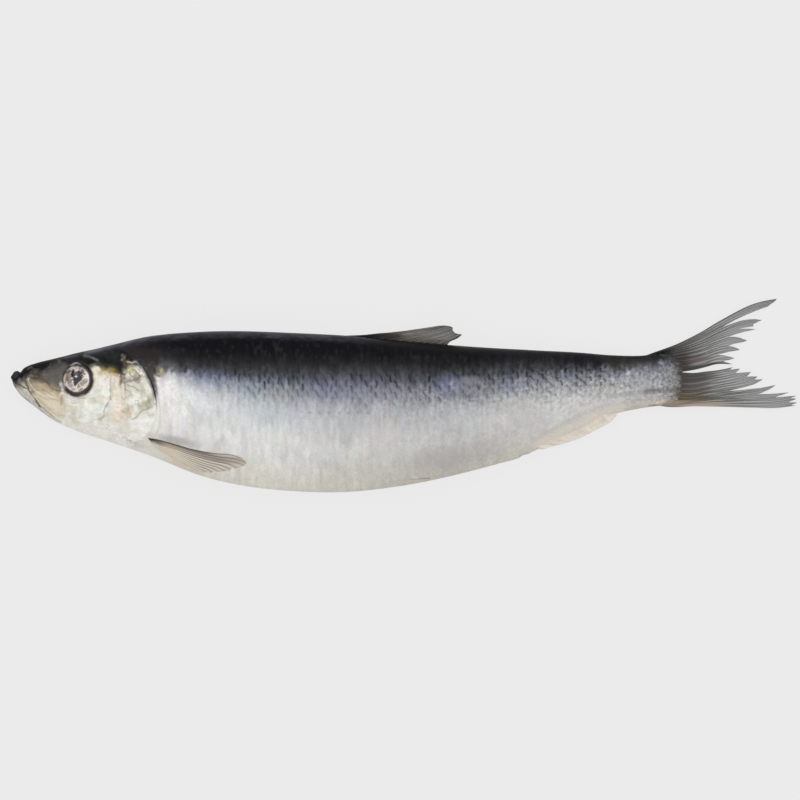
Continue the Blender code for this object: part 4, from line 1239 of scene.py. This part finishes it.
DORSAL = {
    "root": ((124.5, 15.6), (134, 14.5), (142, 13.4), (150, 12.2), (158, 11.8), (166, 11.2)),
    "margin": ((164.1, 19.5), (167, 19.4), (168.8, 18.7), (168.9, 17.7), (169.7, 16.8), (172.4, 16.1)),
    "first": (
        (124.5, 15.6), (128, 15.7), (131.6, 15.8), (135, 15.95), (139.2, 16.35), (145.1, 16.8),
        (149, 17.2), (153.8, 17.9), (159.7, 18.8), (164.1, 19.5),
    ),
    "last": ((166, 11.2), (167.9, 13.4), (170.8, 14.8), (172.4, 16.1)),
    "rays": 12, "thickness": 1.3,
}
ANAL = {
    "root": ((199.5, -24.5), (210, -19.2), (219, -15), (229.5, -11.2)),
    "margin": (
        (204.9, -27.1), (210.3, -25.9), (218.1, -23.3), (224, -20.2), (229.5, -17.2), (231.8, -14.7),
    ),
    "first": ((199.5, -24.5), (200.6, -27.2), (204.9, -27.1)),
    "last": ((229.5, -11.2), (231.8, -14.7)),
    "rays": 16, "thickness": 5.5, "ray_depth": 0.06, "thinning": 0.93,
}
PECTORAL = {
    "root": ((52.4, -23.5), (54, -25.6), (55.8, -27.8)),
    "margin": ((87.8, -31), (89.9, -33.2), (85, -35.2), (78, -36.6), (70.5, -36.2), (66.5, -33.6)),
    "first": (
        (52.4, -23.5), (56.5, -24.2), (60.9, -25.4), (69.7, -27.9), (78.5, -29.4), (84.3, -29.9),
        (87.8, -31),
    ),
    "last": ((55.8, -27.8), (61.5, -30.6), (66.5, -33.6)),
    "rays": 12, "thickness": 0.5, "lift": 0.15, "splits": 0,
    "wear": (
        (0, 0), (0.26, 0), (0.3, 0.03), (0.34, 0), (0.5, 0), (0.55, 0.05), (0.6, 0), (0.8, 0.06),
        (1, 0),
    ),
}
PELVIC = {
    "root": ((144.6, -40.3), (145.6, -41.2)),
    "margin": ((160.5, -38.9), (158.4, -40.1)),
    "first": ((144.6, -40.3), (160.5, -38.9)),
    "last": ((145.6, -41.2), (158.4, -40.1)),
    "rays": 6, "thickness": 0.6, "lift": 0.15,
    "wear": ((0, 0), (0.44, 0), (0.5, 0.08), (0.56, 0), (1, 0)),
}
print("the tail's lobes have", CAUDAL_UPPER["rays"], "and", CAUDAL_LOWER["rays"], "bundles of rays")


# %% How a fin is made
def patch(fin, share, reach):
    """The blend of a fin's four edges: both pairs of edges, less the flat patch of its corners."""
    first, last = curve_at(fin["first"], reach), curve_at(fin["last"], reach)
    root, margin = curve_at(fin["root"], share), curve_at(fin["margin"], share)
    share, reach = share[..., None], reach[..., None]
    start = (1 - reach) * np.array(fin["first"][0]) + reach * np.array(fin["first"][-1])
    end = (1 - reach) * np.array(fin["last"][0]) + reach * np.array(fin["last"][-1])
    corners = (1 - share) * start + share * end
    return (1 - share) * first + share * last + (1 - reach) * root + reach * margin - corners


def rays_at(fin, share, reach):
    """1 on each ray and 0 between rays; a ray splits in two half way out and again near the margin."""
    whole = share * fin["rays"]
    branches = [np.abs(np.cos(np.pi * whole * k)) ** RAY_SHARPNESS for k in (1, 2, 4)]
    early, late = fin["splits"] * ease(0.35, 0.55, reach), fin["splits"] * ease(0.68, 0.85, reach)
    return (branches[0] * (1 - early) + branches[1] * early) * (1 - late) + branches[2] * late


def make_fin(name, fin, colours, direction, steps, seed):
    """A closed thin sheet: the patch, moved out on one face and back on the other."""
    fin, colours = {**FIN_DEFAULTS, **fin}, {**COLOUR_DEFAULTS, **colours}
    share = np.linspace(0, 1, fin["rays"] * POINTS_A_RAY + 1)[:, None]
    worn = lines_over(fin["wear"], share)
    worn = worn + RAGGEDNESS * noise(share * 40, 0 * share, 1.0, 200 + seed, 2)
    cut = np.linspace(0, 1, steps)[None, :]
    out = cut * (1 - worn)
    side_view = patch(fin, np.broadcast_to(share, out.shape), out)
    a, h = side_view[..., 0], side_view[..., 1]
    middle = backbone_at(a) + direction * (skin_out(a, h) + FIN_CLEAR + fin["lift"] * out**2)
    ripple = RIPPLE_LONG * np.sin(share * 21 + 3 * out + seed) + RIPPLE_SHORT * np.sin(share * 47 + seed)
    middle = middle + ripple * ease(0.15, 1.0, out) * (PAIRED_RIPPLE if direction else 1.0)
    sheet = np.stack([a, h, middle], axis=-1)
    across, lengthwise = np.gradient(sheet, axis=0), np.gradient(sheet, axis=1)
    normal = unit(np.cross(across, lengthwise))
    normal *= np.sign(normal[..., 2:] + 1e-9)
    ray = rays_at(fin, share, out)
    taper = 1 - fin["thinning"] * ease(0.1, 1.0, out)
    thick = fin["thickness"] * taper * (1 - fin["ray_depth"] + fin["ray_depth"] * ray) / 2
    rim = np.minimum(1, 4 * np.minimum(share, 1 - share) * fin["rays"] / 2 + RIM_THICKNESS)
    thick = thick * rim * np.where(np.arange(steps) == steps - 1, RIM_THICKNESS, 1.0)
    top, bottom = sheet + normal * thick[..., None], sheet - normal * thick[..., None]
    loop = np.concatenate([top, bottom[:, ::-1]], axis=1)
    tips = ease(0.86, 1.0, cut) * (1 - ease(0.0, 0.07, worn))
    paint = fin_paint(fin, share, out, tips, ray, colours, a, h, seed)
    both = np.concatenate([paint, paint[:, ::-1]], axis=1)
    piece = closed_grid(name, loop, {"paint": both}, sheet=True)
    dress(piece, fin_finish)


def fin_paint(fin, share, out, tips, ray, colours, a, h, seed):
    """Shades from root to margin, lighter on each ray, a dark first ray, dark tips and stains."""
    fine = noise(share * fin["rays"] * 5 + 0 * out, out * 3, 1.0, 300 + seed, 3)
    paint = ramp(out, colours["outward"])
    shade(paint, colours["contrast"] * (ray - 0.4) + 0.35 * fine)
    lay(paint, colours["tip_strength"] * tips, colours["tip"])
    edge = 1 - ease(0.0, colours["edge_width"] * (1 - 0.4 * out), share + 0.01 * fine)
    edge = edge * (1 - colours["edge_fade"] * ease(0.55, 0.85, out))
    lay(paint, colours["edge_strength"] * edge, colours["edge"])
    lay_dabs(paint, a, h, colours["dabs"], 0.6)
    return np.clip(paint, 0, 0.9)


# %% The colours of the fins
# Shades from root to margin, how much lighter a ray is, the tips and the first ray, then dabs
COLOUR_DEFAULTS = {"tip_strength": 0.6, "edge_strength": 0.3, "edge_width": 0.045, "edge_fade": 0}
TAIL_COLOURS = {
    "outward": ((0, "4b4643"), (0.25, "676664"), (0.45, "80807f"), (0.7, "8e8e8e"), (1, "929292")),
    "contrast": 1, "tip": "626260", "edge": "484847", "edge_strength": 0.8, "tip_strength": 0.45,
    "edge_width": 0.055,
    "dabs": (
        (257, 4.5, 3, 5, 0, "3b3431", 0.7),
        (263, 6.6, 4.5, 1, 8, "6b5758", 0.65),
        (264, 3.6, 7, 0.7, 12, "2d2927", 0.8),
        (271, 4.9, 5, 0.6, 0, "35312f", 0.75),
        (262, -0.4, 7, 1.9, 4, "4b4546", 0.85),
        (262, -4.6, 6, 1.6, 0, "5a5450", 0.6),
        (261, -7.8, 7, 1.2, -3, "6a6044", 0.6),
        (270, -8.2, 11, 0.45, -3, "4e4b45", 0.5),
        (272, -6, 11, 0.4, -1, "55524d", 0.45),
        (259, -10.4, 14, 1.1, -1, "b8ac9c", 0.8),
        (264, -10, 8, 0.8, -2, "8f8376", 0.5),
        (247.6, 8.6, 5, 1.9, 22, "2e2e2d", 0.85),
        (277, 16, 9, 1.2, 32, "9b9b9a", 0.35),
    ),
}
DORSAL_COLOURS = {
    "outward": ((0, "4a4745"), (0.35, "6b6763"), (0.6, "7e7b77"), (0.85, "7a7a79"), (1, "868684")),
    "contrast": 0.25, "tip": "5b5b58", "edge": "383634", "edge_strength": 0.85,
    "dabs": (
        (133, 15.4, 12, 1.6, 3, "26252a", 0.92),
        (145.5, 15.4, 5, 1.6, 6, "3a3736", 0.75),
        (152, 17.4, 5, 0.8, 9, "55524f", 0.65),
        # painted shadow along the fin's root, where it meets the back
        (154, 12.4, 13, 0.7, -4, "17130f", 0.85),
        (163, 18.4, 5, 1, 4, "6b6c6a", 0.5),
        (169.5, 14.2, 3.5, 0.5, 32, "2b2827", 0.8),
        (151.5, 16.3, 3, 0.35, 8, "958e87", 0.7),
    ),
}
ANAL_COLOURS = {
    "outward": ((0, "cbc5bd"), (0.5, "d6cdc2"), (1, "dad3c8")),
    "contrast": 0.08, "tip": "d6cdc0", "edge": "cfc6b9",
    "dabs": (
        (222, -17.6, 4, 1.8, 26, "d6d4ba", 0.6),
        (209, -22.6, 5, 1.8, 22, "dccbb8", 0.4),
    ),
}
PECTORAL_COLOURS = {
    "outward": ((0, "a39887"), (0.2, "cbbfae"), (0.45, "c2b8ad"), (0.8, "bbb1a6"), (1, "c3bbb0")),
    "contrast": -0.8, "tip": "b9b0a6", "edge": "25221f", "edge_strength": 0.95, "edge_width": 0.2,
    "edge_fade": 0.75,
    "dabs": (
        (60, -30.6, 8, 3, -32, "cec5b7", 0.9),
        (55.5, -24.8, 3.5, 0.9, -20, "4b463c", 0.8),
        (60.5, -29, 4.5, 2.2, -28, "cfc1ad", 0.75),
        (63, -27.2, 7, 0.7, -16, "8a8378", 0.6),
        (66, -33, 9, 1.4, -26, "cbc3b6", 0.7),
        (75.5, -30.9, 8, 1.1, -13, "6a6662", 0.6),
        (84, -31.9, 6, 1.3, -8, "8b8179", 0.55),
        # painted shade at the fin's root, where it meets the body
        (53.6, -24.3, 1.4, 0.8, -20, "2f2b26", 0.85),
        (54.5, -26.6, 2.2, 1.4, -40, "d5cfc6", 0.85),
    ),
}
PELVIC_COLOURS = {
    "outward": ((0, "c8c3b9"), (1, "c3bdb3")), "contrast": 0.05, "tip": "c0b9af", "edge": "bdb5ab",
    "dabs": (),
}
print("the pectoral fin gets", len(PECTORAL_COLOURS["dabs"]), "dabs")

# %% Make the fins
# Name, edges, colours, side of the fish, points outward, seed
make_fin("caudal_upper", CAUDAL_UPPER, TAIL_COLOURS, 0, 90, 1)
make_fin("caudal_lower", CAUDAL_LOWER, TAIL_COLOURS, 0, 90, 2)
make_fin("dorsal", DORSAL, DORSAL_COLOURS, 0, 60, 3)
make_fin("anal", ANAL, ANAL_COLOURS, 0, 30, 4)
for word, direction in (("left", 1), ("right", -1)):
    make_fin("pectoral_" + word, PECTORAL, PECTORAL_COLOURS, direction, 70, 5)
    make_fin("pelvic_" + word, PELVIC, PELVIC_COLOURS, direction, 30, 6)

# %% [markdown]
# ## Table, light and camera
# The fish lies on a pale light table, so it has almost no shadow. A large soft light hangs above
# it and the room is evenly pale. The camera looks straight down through a long lens, as in the
# photograph.

# %% A light table
FLOOR_GAP = 0.1
FLOOR_HALF = 2000.0
FLOOR_ALBEDO, FLOOR_GLOW, FLOOR_ROUGHNESS = "454545", 0.769, 0.9
WORLD_STRENGTH = 0.55
LAMP_PLACE, LAMP_SIZE, LAMP_POWER = (0.0, 0.4, 8.4), 12.8, 600.0  # metres and watts


def make_floor():
    """A flat square of four cells whose own light hides most of the shadow."""
    x = np.linspace(-FLOOR_HALF, FLOOR_HALF, 3)
    grid_x, grid_y = np.meshgrid(x, x, indexing="ij")
    points = np.stack([grid_x, grid_y, np.full(grid_x.shape, -FLOOR_GAP)], axis=-1) * MM
    index = np.arange(9).reshape(3, 3)
    faces = np.stack([index[:-1, :-1], index[1:, :-1], index[1:, 1:], index[:-1, 1:]], axis=-1)
    mesh = bpy.data.meshes.new("light_table")
    mesh.from_pydata(points.reshape(-1, 3).tolist(), [], faces.reshape(-1, 4).tolist())
    floor = add_object("light_table", mesh)
    material, _ = new_material("opal acrylic", {
        "Base Color": (*linear(FLOOR_ALBEDO), 1), "Roughness": FLOOR_ROUGHNESS, "Specular IOR Level": 0,
        "Emission Color": (1, 1, 1, 1), "Emission Strength": FLOOR_GLOW,
    })
    mesh.materials.append(material)


def make_lamp(name, place, size, power):
    """A square soft light that faces the fish."""
    data = bpy.data.lights.new(name, "AREA")
    data.size = size
    data.energy = power
    lamp = add_object(name, data)
    lamp.location = place
    lamp.rotation_euler = (-Vector(place)).to_track_quat("-Z", "Y").to_euler()


make_floor()
make_lamp("soft_light_above", LAMP_PLACE, LAMP_SIZE, LAMP_POWER)
world = bpy.data.worlds.new("pale room")
world.use_nodes = True
sky = world.node_tree.nodes["Background"].inputs
sky["Color"].default_value = (1, 1, 1, 1)
sky["Strength"].default_value = WORLD_STRENGTH
bpy.context.scene.world = world
bpy.context.scene.view_settings.view_transform = "Standard"
print("the floor is", 2 * FLOOR_HALF * MM, "m wide, and the lamp hangs", LAMP_PLACE[2], "m over it")

# %% The camera
LENS, SENSOR = 900.0, 36.0
VIEW_MIDDLE = (-1.12, -1.73, 13)  # the place in the frame that is in the middle of the picture
VIEW_WIDTH = 306.12  # what the picture shows at that height
camera_data = bpy.data.cameras.new("camera")
camera_data.lens = LENS
camera_data.sensor_width = SENSOR
camera = add_object("camera", camera_data)
camera_rise = VIEW_WIDTH * LENS / SENSOR
camera.location = Vector(VIEW_MIDDLE) * MM + Vector((0, 0, camera_rise * MM))
bpy.context.scene.camera = camera
print("the camera hangs", round(camera_rise), "mm above the fish")
